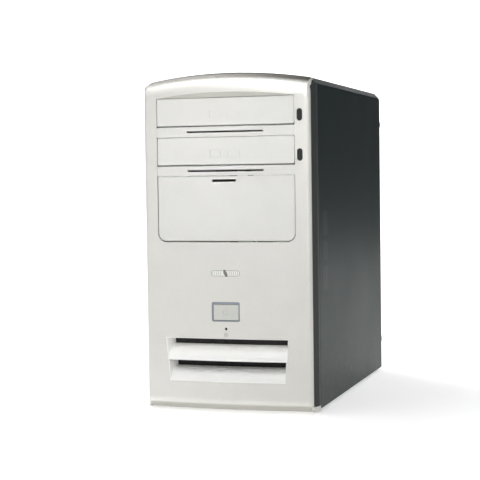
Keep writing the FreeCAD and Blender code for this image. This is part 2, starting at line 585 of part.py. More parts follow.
def rear_panel():
    wide, neck, head = CASE_HALF - 1.2, CASE_HALF - 3.5, CASE_HALF - 7.8
    body = prism_xz([(-wide, 6.2), (wide, 6.2), (wide, 353.2), (neck, 353.2), (head, 358.6),
                     (-head, 358.6), (-neck, 353.2), (-wide, 353.2)], (REAR_Y - SHEET, REAR_Y))
    mid = (PSU_X[0] + PSU_X[1]) / 2
    cuts = [box((mid - 65.2, mid + 65.2), (300, 400), (PSU_Z[0] + 2, PSU_Z[1] - 2)),
            box((mid - 72, mid + 72), (300, 400), (PSU_Z[0] + 13, PSU_Z[1] - 13)),
            box(IO_X, (300, 400), IO_Z)]
    cuts += [box((-22, 74), (300, 400), (z - 6.5, z + 6.5)) for z in SLOT_Z]
    cuts += [box((x, x + 10.2), (300, 400), (RAIL_Z - 0.6, 354)) for x in (-96.8, 86.6)]
    cuts += [rod(2.0, (x, 340, z), 20) for x, z in psu_screw_places() + fan_screw_places(REAR_FAN)]
    cuts += [rod(2.1, (x, 340, z), 20) for x in (-THUMB_X, THUMB_X) for z in THUMB_Z]
    for reach in (9.5, 17.5, 25.5, 33.5):
        ring = rod(reach + 2.9, (REAR_FAN[0], 340, REAR_FAN[1]), 20).cut(
            rod(reach - 2.9, (REAR_FAN[0], 330, REAR_FAN[1]), 40))
        bars = [box((REAR_FAN[0] - 45, REAR_FAN[0] + 45), (330, 370), (REAR_FAN[1] - 1.6, REAR_FAN[1] + 1.6)),
                box((REAR_FAN[0] - 1.6, REAR_FAN[0] + 1.6), (330, 370), (REAR_FAN[1] - 45, REAR_FAN[1] + 45))]
        cuts.append(ring.cut(bars[0]).cut(bars[1]))
    cuts += [box((-86, -50), (300, 400), (z, z + 3)) for z in range(36, 120, 8)]
    for cut in cuts:
        body = body.cut(cut)
    return body


def motherboard_wall():
    body = box((WALL_X, WALL_X + SHEET), (90, 348.6), (8, 350))
    posts = [rod(3.5, (BOARD_X + BOARD_T, y, z), WALL_X - BOARD_X - BOARD_T, X_AXIS) for y, z in board_holes()]
    wall = join([body, *posts])
    for y, z in board_holes():
        wall = wall.cut(rod(1.6, (70, y, z), 30, X_AXIS))
    return wall


def drive_cage():
    """Cage for the two tray drives, with the narrower cage for the small drives hung beneath it."""
    sides = [box((MID_X + x, MID_X + x + 1), (21.2, 188), (259.6, 352)) for x in (-74.6, 73.6)]
    for z in DRIVE_Z:
        sides = [side.cut(box((-100, 100), (60, 150), (z + 14, z + 28))) for side in sides]
    shelf = box((MID_X - 74.6, MID_X + 74.6), (21.2, 188), (258.6, 259.6))
    shelf = shelf.cut(box((MID_X - 40, MID_X + 40), (50, 160), (250, 270)))
    small = [box((MID_X + x, MID_X + x + 1), (21.2, 172), (147, 258.6)) for x in (-52.2, 51.2)]
    small = [side.cut(box((-100, 100), (50, 140), (186, 216))) for side in small]
    floor = box((MID_X - 52.2, MID_X + 52.2), (21.2, 172), (146, 147))
    return group([*sides, shelf, *small, floor])


def side_panel():
    """The right panel: one sheet with rails folded in at its top and bottom and a flange at the back."""
    back = REAR_Y + LIP
    half, middle = CASE_HALF, CASE_HALF - SHEET / 2
    sheet = box((half - SHEET, half), (SEAM_Y + 0.4, back + SHEET), (FOOT, RAIL_Z + SHEET))
    top = box((half - 9.5, middle), (SEAM_Y + 0.4, back + SHEET), (RAIL_Z, RAIL_Z + SHEET))
    bottom = box((half - 9, middle), (SEAM_Y + 0.4, back + SHEET), (FOOT, FOOT + 0.8))
    flange = box((half - 13, middle), (back, back + SHEET), (FOOT, RAIL_Z + SHEET))
    body = join([sheet, top, bottom, flange])
    corner = [e for e in body.Edges if e.BoundBox.XLength < 1e-3 and abs(e.CenterOfMass.x - half) < 1e-3
              and e.BoundBox.ZLength > 300]
    body = body.makeFillet(0.8, corner)
    for z in THUMB_Z:
        body = body.cut(rod(2.0, (THUMB_X, 340, z), 20))
    return body


def thumbscrews():
    """Two knurled screws that hold the right panel's back flange."""
    made = []
    face = REAR_Y + LIP + SHEET
    for z in THUMB_Z:
        head = rod(6, (THUMB_X, face, z), THUMB_HEAD)
        head = head.makeFillet(0.8, [e for e in head.Edges if e.BoundBox.YMin > face + THUMB_HEAD - 0.1])
        for step in range(18):
            angle = math.radians(20 * step)
            groove = rod(0.55, (THUMB_X + 6.15 * math.cos(angle), face + 1.5, z + 6.15 * math.sin(angle)), 9)
            head = head.cut(groove)
        slot = box((THUMB_X - 0.6, THUMB_X + 0.6), (face + THUMB_HEAD - 1.5, face + 20), (z - 4, z + 4))
        made.append(join([head.cut(slot), rod(1.75, (THUMB_X, face - 7.5, z), 7.6)]))
    return group(made)


# ---- fans ----
def ring_of(shape, count, centre, axis):
    copies = []
    for step in range(count):
        copy = shape.copy()
        copy.rotate(Vector(*centre), axis, 360.0 * step / count)
        copies.append(copy)
    return copies


def fan_frame(centre, front, size, depth):
    """Square frame on a Y axis, with its motor post carried by four struts at the back."""
    x, z = centre
    half = size / 2
    body = upright(box((x - half, x + half), (front, front + depth), (z - half, z + half)), 3)
    body = body.cut(rod(half - 2, (x, front - 1, z), depth + 2))
    reach = half * 0.894
    for dx in (-reach, reach):
        for dz in (-reach, reach):
            body = body.cut(rod(1.9, (x + dx, front - 1, z + dz), depth + 2))
    waist = upright(box((x - half - 1, x + half + 1), (front + 4, front + depth - 4),
                        (z - half - 1, z + half + 1)), 3)
    waist = waist.cut(rod(half - 0.4, (x, front, z), depth))
    corners = [box((x + sx * half - 9, x + sx * half + 9), (front + 4, front + depth - 4),
                   (z + sz * half - 9, z + sz * half + 9)) for sx in (-1, 1) for sz in (-1, 1)]
    for corner in corners:
        body = body.cut(waist.common(corner))
    strut = box((x - 1.5, x + 1.5), (front + depth - 3, front + depth - 0.2), (z, z + half - 1))
    post = rod(size * 0.2, (x, front + depth - 3, z), 2.8)
    axle = rod(1.5, (x, front + depth - 9, z), 6.5)
    return join([body, post, axle, *ring_of(strut, 4, (x, front, z), Y_AXIS)])


def fan_rotor(centre, front, size, depth):
    """Hub cap with seven pitched blades, turning on the frame's axle."""
    x, z = centre
    back = front + depth - 4
    hub_r, tip_r = size * 0.2, size / 2 - 3.2
    hub = rod(hub_r, (x, front + 1.5, z), back - front - 1.5)
    hub = hub.makeFillet(1.2, [e for e in hub.Edges if e.BoundBox.YMax < front + 1.6])
    hub = hub.cut(rod(hub_r - 1.5, (x, front + 3.5, z), depth))
    sleeve = rod(3.2, (x, front + 3.4, z), back - front - 4.4).cut(rod(1.55, (x, front, z), depth))
    middle = (front + back) / 2
    blade = box((x - 7, x + 7), (middle + 0.1, middle + 1.5), (z + hub_r - 1, z + tip_r + 2))
    blade.rotate(Vector(x, middle + 0.8, z), Z_AXIS, 38)
    band = rod(tip_r, (x, front + 2, z), back - front - 2.6)
    band = band.cut(rod(hub_r - 0.8, (x, front - 5, z), depth + 10))
    blade = blade.common(band)
    return join([hub, sleeve, *ring_of(blade, 7, (x, front, z), Y_AXIS)])


def turned_to_cooler(shape):
    """Takes a fan drawn about the Y axis at the origin to the processor cooler, facing -X."""
    moved = shape.copy()
    moved.rotate(Vector(0, 0, 0), Z_AXIS, -90)
    moved.translate(Vector(18.4, COOLER_YZ[0], COOLER_YZ[1]))
    return moved


def fan_screw_places(centre):
    reach = FAN / 2 * 0.894
    return [(centre[0] + dx, centre[1] + dz) for dx in (-reach, reach) for dz in (-reach, reach)]


# ---- power supply ----
def psu_screw_places():
    mid = (PSU_X[0] + PSU_X[1]) / 2
    return [(mid + dx, z) for dx in (-69, 69) for z in (PSU_Z[0] + 7, PSU_Z[1] - 7)]


def psu_case():
    body = box(PSU_X, PSU_Y, PSU_Z)
    room = box((PSU_X[0] + 1, PSU_X[1] - 1), (PSU_Y[0] + 1, PSU_Y[1] - 1), (PSU_Z[0] + 1, PSU_Z[1] - 1))
    cuts = [room, rod(38, (PSU_FAN[0], 340, PSU_FAN[1]), 20),
            box((INLET[0] - 13.7, INLET[0] + 13.7), (340, 360), (INLET[1] - 10, INLET[1] + 10)),
            box((ROCKER[0] - 7.6, ROCKER[0] + 7.6), (340, 360), (ROCKER[1] - 10.6, ROCKER[1] + 10.6)),
            box((SELECTOR[0] - 7.6, SELECTOR[0] + 7.6), (340, 360), (SELECTOR[1] - 4.6, SELECTOR[1] + 4.6)),
            rod(7, (55, 200, 290), 20)]
    cuts += [rod(2.0, (x, 340, z), 20) for x, z in psu_screw_places()]
    cuts += [box((x, x + 3), (200, 215), (284, 342)) for x in range(-60, 36, 8)]
    for cut in cuts:
        body = body.cut(cut)
    return body


def psu_internals():
    low = PSU_Z[0] + 3
    board = box((-66, 70), (215, 318), (low, low + 1.6))
    top = low + 1.6
    sinks = []
    for x in (-40, 20):
        spine = box((x, x + 3), (230, 300), (top, top + 55))
        fins = [box((x - 12, x), (232 + 9 * n, 234 + 9 * n), (top + 20, top + 55)) for n in range(8)]
        sinks.append(join([spine, *fins]))
    coil = box((-16, 12), (240, 275), (top, top + 30))
    caps = [rod(11, (46, y, top), 35, Z_AXIS) for y in (235, 262)]
    filter_coil = rod(12, (46, 292, top), 14, Z_AXIS).cut(rod(5, (46, 292, 0), 400, Z_AXIS))
    return group([board, *sinks, coil, *caps, filter_coil])


def psu_fan_guard():
    x, z = PSU_FAN
    y = PSU_Y[1] + 1.0
    rings = [Part.makeTorus(r, 0.8, Vector(x, y, z), Y_AXIS) for r in (12, 20, 28, 36)]
    hub = rod(6, (x, y - 0.6, z), 1.2)
    spoke = box((x - 0.8, x + 0.8), (y - 0.5, y + 0.5), (z + 4, z + 37))
    eyes = []
    for dx in (-35.75, 35.75):
        for dz in (-35.75, 35.75):
            ear = rod(3.8, (x + dx, y - 0.6, z + dz), 1.2).cut(rod(1.9, (x + dx, y - 5, z + dz), 10))
            link = box((x - 0.8, x + 0.8), (y - 0.5, y + 0.5), (z + 35, z + 47))
            link.rotate(Vector(x, y, z), Y_AXIS, math.degrees(math.atan2(dx, dz)))
            eyes += [ear, link]
    return join([hub, *rings, *ring_of(spoke, 8, (x, y, z), Y_AXIS), *eyes])


def power_inlet():
    """Mains inlet with its three blades, and the rocker's and the voltage selector's housings."""
    x, z = INLET
    face = PSU_Y[1]
    rim = plate((x, z), (31, 24), (face, face + 2), 3)
    body = box((x - 13.5, x + 13.5), (333, face), (z - 9.8, z + 9.8))
    mouth = plate((x, z), (24, 16), (336, 360), 2)
    inlet = join([rim, body]).cut(mouth)
    pins = [box((x + dx - 1, x + dx + 1), (336, 345), (z + dz - 2, z + dz + 2))
            for dx, dz in ((-7, -2), (0, 2), (7, -2))]
    inlet = join([inlet, *pins])
    x, z = ROCKER
    switch = join([plate((x, z), (17.5, 23.5), (face, face + 1.5), 1.5),
                   box((x - 7.4, x + 7.4), (332, face), (z - 10.4, z + 10.4))])
    switch = switch.cut(box((x - 5.9, x + 5.9), (335, 360), (z - 9.0, z + 9.0)))
    for side in (-7.5, 5.8):
        switch = switch.cut(rod(1.05, (x + side, ROCKER_PIVOT, z), 1.7, X_AXIS))
    x, z = SELECTOR
    selector = join([plate((x, z), (18, 12), (face, face + 0.8), 1.0),
                     box((x - 7.4, x + 7.4), (340, face), (z - 4.4, z + 4.4))])
    selector = selector.cut(box((x - 6.2, x + 6.2), (343, 360), (z - 3.2, z + 3.2)))
    return group([inlet, switch, selector])


def psu_switch_rocker():
    """Rocker drawn level and then tipped to its "on" side."""
    x, z = ROCKER
    half, face = 7.8, PSU_Y[1] + 2.0
    body = prism_yz([(340.5, z - 4), (340.5, z + 4), (face - 2.2, z + half), (face + 0.2, z + half),
                     (face - 1.3, z), (face + 0.2, z - half), (face - 2.2, z - half)], (x - 5.6, x + 5.6))
    stubs = [rod(1.0, (x + side, ROCKER_PIVOT, z), 1.5, X_AXIS) for side in (-7.0, 5.5)]
    whole = join([body, *stubs])
    whole.rotate(Vector(x, ROCKER_PIVOT, z), X_AXIS, -ROCKER_TILT)
    return whole


def voltage_selector():
    x, z = SELECTOR
    slider = box((x - 6.0, x - 1.4), (344, 348.2), (z - 3.0, z + 3.0))
    return slider.cut(box((x - 4.2, x - 3.2), (347, 350), (z - 5, z + 5)))


# ---- main board ----
def board_holes():
    return [(y, z) for y in (128, 306) for z in (24, 140, 252)] + [(190, 24), (215, 252)]


def motherboard():
    board = box((BOARD_X, BOARD_X + BOARD_T), BOARD_Y, BOARD_Z)
    for y, z in board_holes():
        board = board.cut(rod(2.0, (70, y, z), 20, X_AXIS))
    return board


def board_sockets():
    """Processor socket, memory and card slots, and the cable headers of the main board."""
    y, z = COOLER_YZ
    made = [box((73.4, BOARD_X), (y - 25, y + 25), (z - 25, z + 25))]
    for y in MEMORY_Y:
        slot = box((69.4, BOARD_X), (y - 3.5, y + 3.5), (96, 238))
        slot = slot.cut(box((60, 74), (y - 0.8, y + 0.8), (100, 234)))
        made.append(slot)
    for z in SLOT_Z[:3]:
        slot = box((66.4, BOARD_X), (215, 300), (z - 4.2, z + 4.2))
        made.append(slot.cut(box((60, 75), (217, 298), (z - 0.9, z + 0.9))))
    slot = box((66.4, BOARD_X), (205, 278), (SLOT_Z[3] - 4, SLOT_Z[3] + 4))
    made.append(slot.cut(box((60, 75), (207, 276), (SLOT_Z[3] - 0.9, SLOT_Z[3] + 0.9))))
    made.append(box((64.4, BOARD_X), (112, 122), (175, 227)).cut(box((60, 70), (113.2, 120.8), (176.2, 225.8))))
    for z in (56, 116):
        header = box((68.4, BOARD_X), (108, 117), (z, z + 56))
        made.append(header.cut(box((60, 75), (109.2, 115.8), (z + 1.2, z + 54.8))))
    return group(made)


def board_components():
    """Capacitors, chip coolers, battery and loose chips on the main board."""
    made = [rod(4, (BOARD_X - 12, 312, 152 + 10 * n), 12, X_AXIS) for n in range(9)]
    made += [rod(3.2, (BOARD_X - 9, 178, 100 + 16 * n), 9, X_AXIS) for n in range(7)]
    made += [rod(10, (BOARD_X - 3.4, 145, 40), 3.4, X_AXIS)]
    sink = [box((BOARD_X - 5, BOARD_X), (216, 254), (112, 150))]
    sink += [box((BOARD_X - 14, BOARD_X - 5), (216 + 4.6 * n, 217.6 + 4.6 * n), (112, 150)) for n in range(9)]
    made.append(join(sink))
    made += [box((BOARD_X - 2, BOARD_X), (145, 175), (62, 92)),
             box((BOARD_X - 1.6, BOARD_X), (320, 334), (60, 74)),
             box((BOARD_X - 1.6, BOARD_X), (180, 196), (30, 44)),
             box((BOARD_X - 4, BOARD_X), (128, 141), (108, 118))]
    made += [box((BOARD_X - 6, BOARD_X), (296, 304), (z, z + 8)) for z in (226, 238)]
    return group(made)


def memory_modules():
    made = []
    for y in MEMORY_Y:
        card = box((42, 73.5), (y - 0.65, y + 0.65), (100.6, 233.4))
        chips = [box((47, 60), (y - 1.7, y - 0.65), (105 + 15.6 * n, 115 + 15.6 * n)) for n in range(8)]
        made.append(join([card, *chips]))
    return group(made)


def cpu_heatsink():
    y, z = COOLER_YZ
    half = COOLER / 2 - 1
    base = box((66.4, 73.4), (y - half, y + half), (z - half, z + half))
    fins = [box((33.4, 66.5), (y - half, y + half), (z - half + 4.86 * n - 0.6, z - half + 4.86 * n + 0.8))
            for n in range(15)]
    fins = [f.common(box((0, 100), (y - half, y + half), (z - half, z + half))) for f in fins]
    return join([base, *fins])


def rear_io_ports():
    """Sockets on the main board that come out through the rear shield."""
    back = REAR_Y + PORT_OUT
    shells = {name: box((BOARD_X - deep, BOARD_X - 0.05), (322, back), (low, high))
              for name, (low, high, deep) in PORTS.items()}
    for x in (BOARD_X - 7, BOARD_X - 20):
        shells["keyboard"] = shells["keyboard"].cut(rod(4.8, (x, 338, 251), 20))
    for x in (BOARD_X - 15, BOARD_X - 7.5):
        shells["usb"] = shells["usb"].cut(box((x, x + 5.4), (338, 360), (153.6, 166.4)))
    shells["network"] = shells["network"].cut(box((BOARD_X - 11.5, BOARD_X - 2), (338, 360), (171.2, 182.8)))
    for z in (112.5, 125, 137.5):
        shells["sound"] = shells["sound"].cut(rod(1.8, (BOARD_X - 6.6, 332, z), 25))
    for low, high in ((188, 204), (208, 236)):
        rim = upright(box((BOARD_X - 11.5, BOARD_X - 2.5), (back, back + 4.5), (low, high)), 1.5)
        shells["printer"] = shells["printer"].fuse(rim)
    return group(list(shells.values()))


def io_shield():
    x, z = (IO_X[0] + 0.3, IO_X[1] - 0.3), (IO_Z[0] + 0.3, IO_Z[1] - 0.3)
    sheet = box(x, (REAR_Y - 2.2, REAR_Y - 1.4), z)
    rim = box(x, (REAR_Y - 2.2, REAR_Y - 0.2), z).cut(
        box((x[0] + 1, x[1] - 1), (300, 400), (z[0] + 1, z[1] - 1)))
    whole = join([sheet, rim])
    for low, high, deep in PORTS.values():
        whole = whole.cut(box((BOARD_X - deep - 0.4, BOARD_X + 0.4), (300, 400), (low - 0.4, high + 0.4)))
    return whole.cut(box((BOARD_X, BOARD_X + BOARD_T + 0.2), (300, REAR_Y - 1.9), BOARD_Z))


def expansion_card():
    z = SLOT_Z[2]
    card = box((2, 73.8), (219, 296), (z - 0.75, z + 0.75))
    tail = box((2, 62), (295, 344), (z - 0.75, z + 0.75))
    chips = [box((20, 40), (240, 260), (z + 0.75, z + 2.4)), box((46, 56), (270, 284), (z + 0.75, z + 2.4))]
    jack = box((24, 40), (330, REAR_Y - 0.5), (z + 0.75, z + 6.2)).cut(
        box((26, 38), (338, 360), (z + 1.8, z + 5.2)))
    return join([card, tail, *chips, jack])


def slot_covers():
    """Bracket plates behind the four card openings, the card's own one with a hole for its socket."""
    made = []
    for z in SLOT_Z:
        cover = box((-29, 81), (REAR_Y - 2.0, REAR_Y - 1.05), (z - 9.2, z + 9.2))
        ear = box((-34, -29), (REAR_Y - 2.0, REAR_Y - 1.05), (z - 5, z + 5))
        made.append(join([cover, ear]))
    made[2] = made[2].cut(box((23.6, 40.4), (300, 400), (SLOT_Z[2] + 0.4, SLOT_Z[2] + 6.6)))
    return group(made)


def case_screws():
    """Screws of the power supply, the rear fan and the main board."""
    made = []
    for x, z in psu_screw_places() + fan_screw_places(REAR_FAN):
        head = rod(3.5, (x, REAR_Y, z), 2.2)
        cross = [box((x - 2, x + 2), (REAR_Y + 1.2, REAR_Y + 3), (z - 0.4, z + 0.4)),
                 box((x - 0.4, x + 0.4), (REAR_Y + 1.2, REAR_Y + 3), (z - 2, z + 2))]
        made.append(join([head.cut(cross[0]).cut(cross[1]), rod(1.7, (x, REAR_Y - 7, z), 7.1)]))
    for y, z in board_holes():
        head = rod(3.2, (BOARD_X - 2.2, y, z), 2.2, X_AXIS)
        made.append(join([head, rod(1.5, (BOARD_X - 0.1, y, z), 6.0, X_AXIS)]))
    return group(made)


# ---- leads inside the case ----
def lead(points, radius):
    """A round lead along straight runs joined by tangent arcs."""
    spots = [Vector(*p) for p in points]
    edges, start = [], spots[0]
    for before, corner, after in zip(spots, spots[1:], spots[2:]):
        into, out = (corner - before), (after - corner)
        cut = 0.45 * min(into.Length, out.Length)
        first, last = corner - into.normalize() * cut, corner + out.normalize() * cut
        turn = into.getAngle(out)
        bend = cut / math.tan(turn / 2)
        inward = (out - into).normalize()
        middle = corner + inward * (bend / math.cos(turn / 2) - bend)
        print("lead bend radius", round(bend, 1))
        edges += [Part.makeLine(start, first), Part.Arc(first, middle, last).toShape()]
        start = last
    edges.append(Part.makeLine(start, spots[-1]))
    path = Part.Wire(edges)
    first_run = spots[1] - spots[0]
    ring = Part.Wire([Part.makeCircle(radius, spots[0], first_run)])
    tube = path.makePipeShell([ring], True, False)
    print("lead volume", round(tube.Volume), "section times length", round(math.pi * radius ** 2 * path.Length))
    return tube


def power_lead():
    """Main supply harness, from the power supply's front to its header on the board, with its plug."""
    route = [(55, 209.2, 290), (55, 200, 282), (55, 197, 263), (56, 186, 248), (58, 168, 240), (59, 149, 229),
             (59.5, 133, 215), (60, 121, 205)]
    plug = box((55.5, 64.3), (112.6, 121.4), (175.6, 226.4))
    return join([lead(route, 4.0), plug])


def data_lead():
    """Round drive cable, from the lower tray drive to the upper header on the board, with both plugs."""
    z = DRIVE_Z[0]
    back = DRIVE_FRONT + DRIVE_L + 6.1
    drive_plug = box((MID_X - 61.5, MID_X - 6.5), (back, back + 8), (z + 5.4, z + 13.6))
    board_plug = box((60, 68.3), (108.4, 116.6), (116.6, 171.4))
    route = [(-38, back + 7.8, z + 9.5), (-35, back + 15, z - 2), (-22, back + 14, z - 24),
             (0, back + 10, z - 44), (24, back + 5, z - 62), (47, back - 0.8, z - 80), (60, back - 12, z - 95),
             (62, back - 33, z - 107), (63, back - 52, z - 115), (64, back - 68.2, z - 119)]
    return join([lead(route, 3.2), drive_plug, board_plug])


def main():
    os.makedirs("parts", exist_ok=True)
    outer, inner = front_block(0), front_block(SKIN)
    upper = UPPER_TRAY_TOP
    lower = UPPER_TRAY_TOP - BAY_PITCH
    rear_fan_front = REAR_Y - SHEET - LIP - FAN_DEPTH
    psu_fan_front = PSU_Y[1] - SHEET - LIP - FAN_DEPTH
    nodes = {
        "front_bezel": front_bezel(outer, inner),
        "bezel_trims": bezel_trims(),
        "bay_strips": group([bay_strip(True), bay_strip(False)]),
        "badge_plate": badge_plate(outer),
        "intake_louvres": intake_louvres(outer),
        "intake_filter": intake_filter(),
        "indicator_lenses": indicator_lenses(outer),
        "power_button_ring": power_button_ring(outer),
        "power_button": power_button(),
        "front_switch_board": front_switch_board(),
        "eject_button_lower": eject_button(EJECT_Z[0]),
        "eject_button_upper": eject_button(EJECT_Z[1]),
        "lower_tray_front": tray_front(lower),
        "upper_tray_front": tray_front(upper),
        "lower_tray": tray(DRIVE_Z[0]),
        "upper_tray": tray(DRIVE_Z[1]),
        "optical_drive_lower": optical_drive(DRIVE_Z[0], EJECT_Z[0]),
        "optical_drive_upper": optical_drive(DRIVE_Z[1], EJECT_Z[1]),
        "bay_door": bay_door(),
        "door_hinge_pins": door_hinge_pins(),
        "bay_liner": bay_liner(),
        "floppy_drive": floppy_drive(),
        "floppy_eject_button": floppy_eject_button(),
        "front_port_sockets": front_port_sockets(),
        "hard_disk": hard_disk(),
        "chassis_front": chassis_front(),
        "chassis_base": chassis_base(),
        "rear_panel": rear_panel(),
        "motherboard_wall": motherboard_wall(),
        "drive_cage": drive_cage(),
        "top_cover": top_cover(),
        "side_panel_right": side_panel(),
        "side_panel_left": mirrored(side_panel()),
        "thumbscrews_right": thumbscrews(),
        "thumbscrews_left": mirrored(thumbscrews()),
        "feet": feet(),
        "psu_case": psu_case(),
        "psu_internals": psu_internals(),
        "psu_fan_frame": fan_frame(PSU_FAN, psu_fan_front, FAN, FAN_DEPTH),
        "psu_fan_rotor": fan_rotor(PSU_FAN, psu_fan_front, FAN, FAN_DEPTH),
        "psu_fan_guard": psu_fan_guard(),
        "power_inlet": power_inlet(),
        "psu_switch_rocker": psu_switch_rocker(),
        "voltage_selector": voltage_selector(),
        "rear_fan_frame": fan_frame(REAR_FAN, rear_fan_front, FAN, FAN_DEPTH),
        "rear_fan_rotor": fan_rotor(REAR_FAN, rear_fan_front, FAN, FAN_DEPTH),
        "motherboard": motherboard(),
        "board_sockets": board_sockets(),
        "board_components": board_components(),
        "memory_modules": memory_modules(),
        "cpu_heatsink": cpu_heatsink(),
        "cpu_fan_frame": turned_to_cooler(fan_frame((0, 0), 0, COOLER, 15)),
        "cpu_fan_rotor": turned_to_cooler(fan_rotor((0, 0), 0, COOLER, 15)),
        "rear_io_ports": rear_io_ports(),
        "io_shield": io_shield(),
        "expansion_card": expansion_card(),
        "slot_covers": slot_covers(),
        "case_screws": case_screws(),
        "power_lead": power_lead(),
        "data_lead": data_lead(),
    }
    for name, shape in nodes.items():
        save(name, shape)
    print(len(nodes), "nodes, moved along Y by", Y_SHIFT)


main()
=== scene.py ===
"""Looks of a compact desktop computer tower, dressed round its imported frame.

Lengths are in metres in the frame's own axes: +Z up, the front facing -Y, the origin on the floor under the
middle of the tower. Every sub-assembly is a class with its sizes as fields, every finish a frozen dataclass.
"""
import json
import logging
import math
import random
from dataclasses import dataclass, field
from enum import Enum

import bmesh
import bpy
from mathutils import Matrix, Vector


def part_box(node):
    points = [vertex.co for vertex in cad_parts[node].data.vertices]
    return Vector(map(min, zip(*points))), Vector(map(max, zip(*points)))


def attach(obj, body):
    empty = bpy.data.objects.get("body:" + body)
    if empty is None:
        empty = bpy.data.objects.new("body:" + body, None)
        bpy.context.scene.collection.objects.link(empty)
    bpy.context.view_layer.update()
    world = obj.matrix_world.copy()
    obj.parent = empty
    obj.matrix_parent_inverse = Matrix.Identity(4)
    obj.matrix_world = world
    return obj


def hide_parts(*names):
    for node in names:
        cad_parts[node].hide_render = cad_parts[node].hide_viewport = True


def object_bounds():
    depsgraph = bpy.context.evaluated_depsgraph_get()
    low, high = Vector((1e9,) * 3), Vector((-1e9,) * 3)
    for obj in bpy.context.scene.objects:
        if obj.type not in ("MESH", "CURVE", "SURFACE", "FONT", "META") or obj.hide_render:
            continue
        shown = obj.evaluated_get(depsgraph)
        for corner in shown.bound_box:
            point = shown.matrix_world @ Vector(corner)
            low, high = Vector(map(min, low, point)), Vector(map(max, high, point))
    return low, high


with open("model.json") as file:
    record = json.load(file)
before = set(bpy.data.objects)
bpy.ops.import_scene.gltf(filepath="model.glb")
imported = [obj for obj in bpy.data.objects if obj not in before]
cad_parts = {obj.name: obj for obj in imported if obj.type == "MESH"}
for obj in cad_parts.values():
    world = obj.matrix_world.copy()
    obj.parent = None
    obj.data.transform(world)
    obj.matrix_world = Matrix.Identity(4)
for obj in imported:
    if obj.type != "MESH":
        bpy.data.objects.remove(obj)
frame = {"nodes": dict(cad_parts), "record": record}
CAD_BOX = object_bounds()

LOG = logging.getLogger("tower")
MM = 0.001
SEAM_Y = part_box("top_cover")[0].y
FLOOR_Z = 0.0
Colour = tuple[float, float, float]
Point = tuple[float, float, float]
Span = tuple[int, int]


# ---------------------------------------------------------------- shader maths
class Value:
    """A socket's value in a shader, on which Python's operators add Math nodes."""

    def __init__(self, graph: "Graph", socket: bpy.types.NodeSocket) -> None:
        """Wraps a socket.

        Args:
            graph: the material's graph that the socket belongs to.
            socket: the output socket.
        """
        self.graph = graph
        self.socket = socket

    def __add__(self, other: "Number") -> "Value":
        """self + other."""
        return self.graph.math("ADD", self, other)

    def __sub__(self, other: "Number") -> "Value":
        """self - other."""
        return self.graph.math("SUBTRACT", self, other)

    def __rsub__(self, other: "Number") -> "Value":
        """other - self."""
        return self.graph.math("SUBTRACT", other, self)

    def __mul__(self, other: "Number") -> "Value":
        """self * other."""
        return self.graph.math("MULTIPLY", self, other)

    def __truediv__(self, other: "Number") -> "Value":
        """self / other."""
        return self.graph.math("DIVIDE", self, other)

    def __gt__(self, other: "Number") -> "Value":
        """1 where self is greater than other, or 0."""
        return self.graph.math("GREATER_THAN", self, other)

    def __lt__(self, other: "Number") -> "Value":
        """1 where self is less than other, or 0."""
        return self.graph.math("LESS_THAN", self, other)

    def __abs__(self) -> "Value":
        """The size of self without its sign."""
        return self.graph.math("ABSOLUTE", self)

    def __pow__(self, other: "Number") -> "Value":
        """self to the power of other."""
        return self.graph.math("POWER", self, other)

    __radd__ = __add__
    __rmul__ = __mul__


Number = Value | float


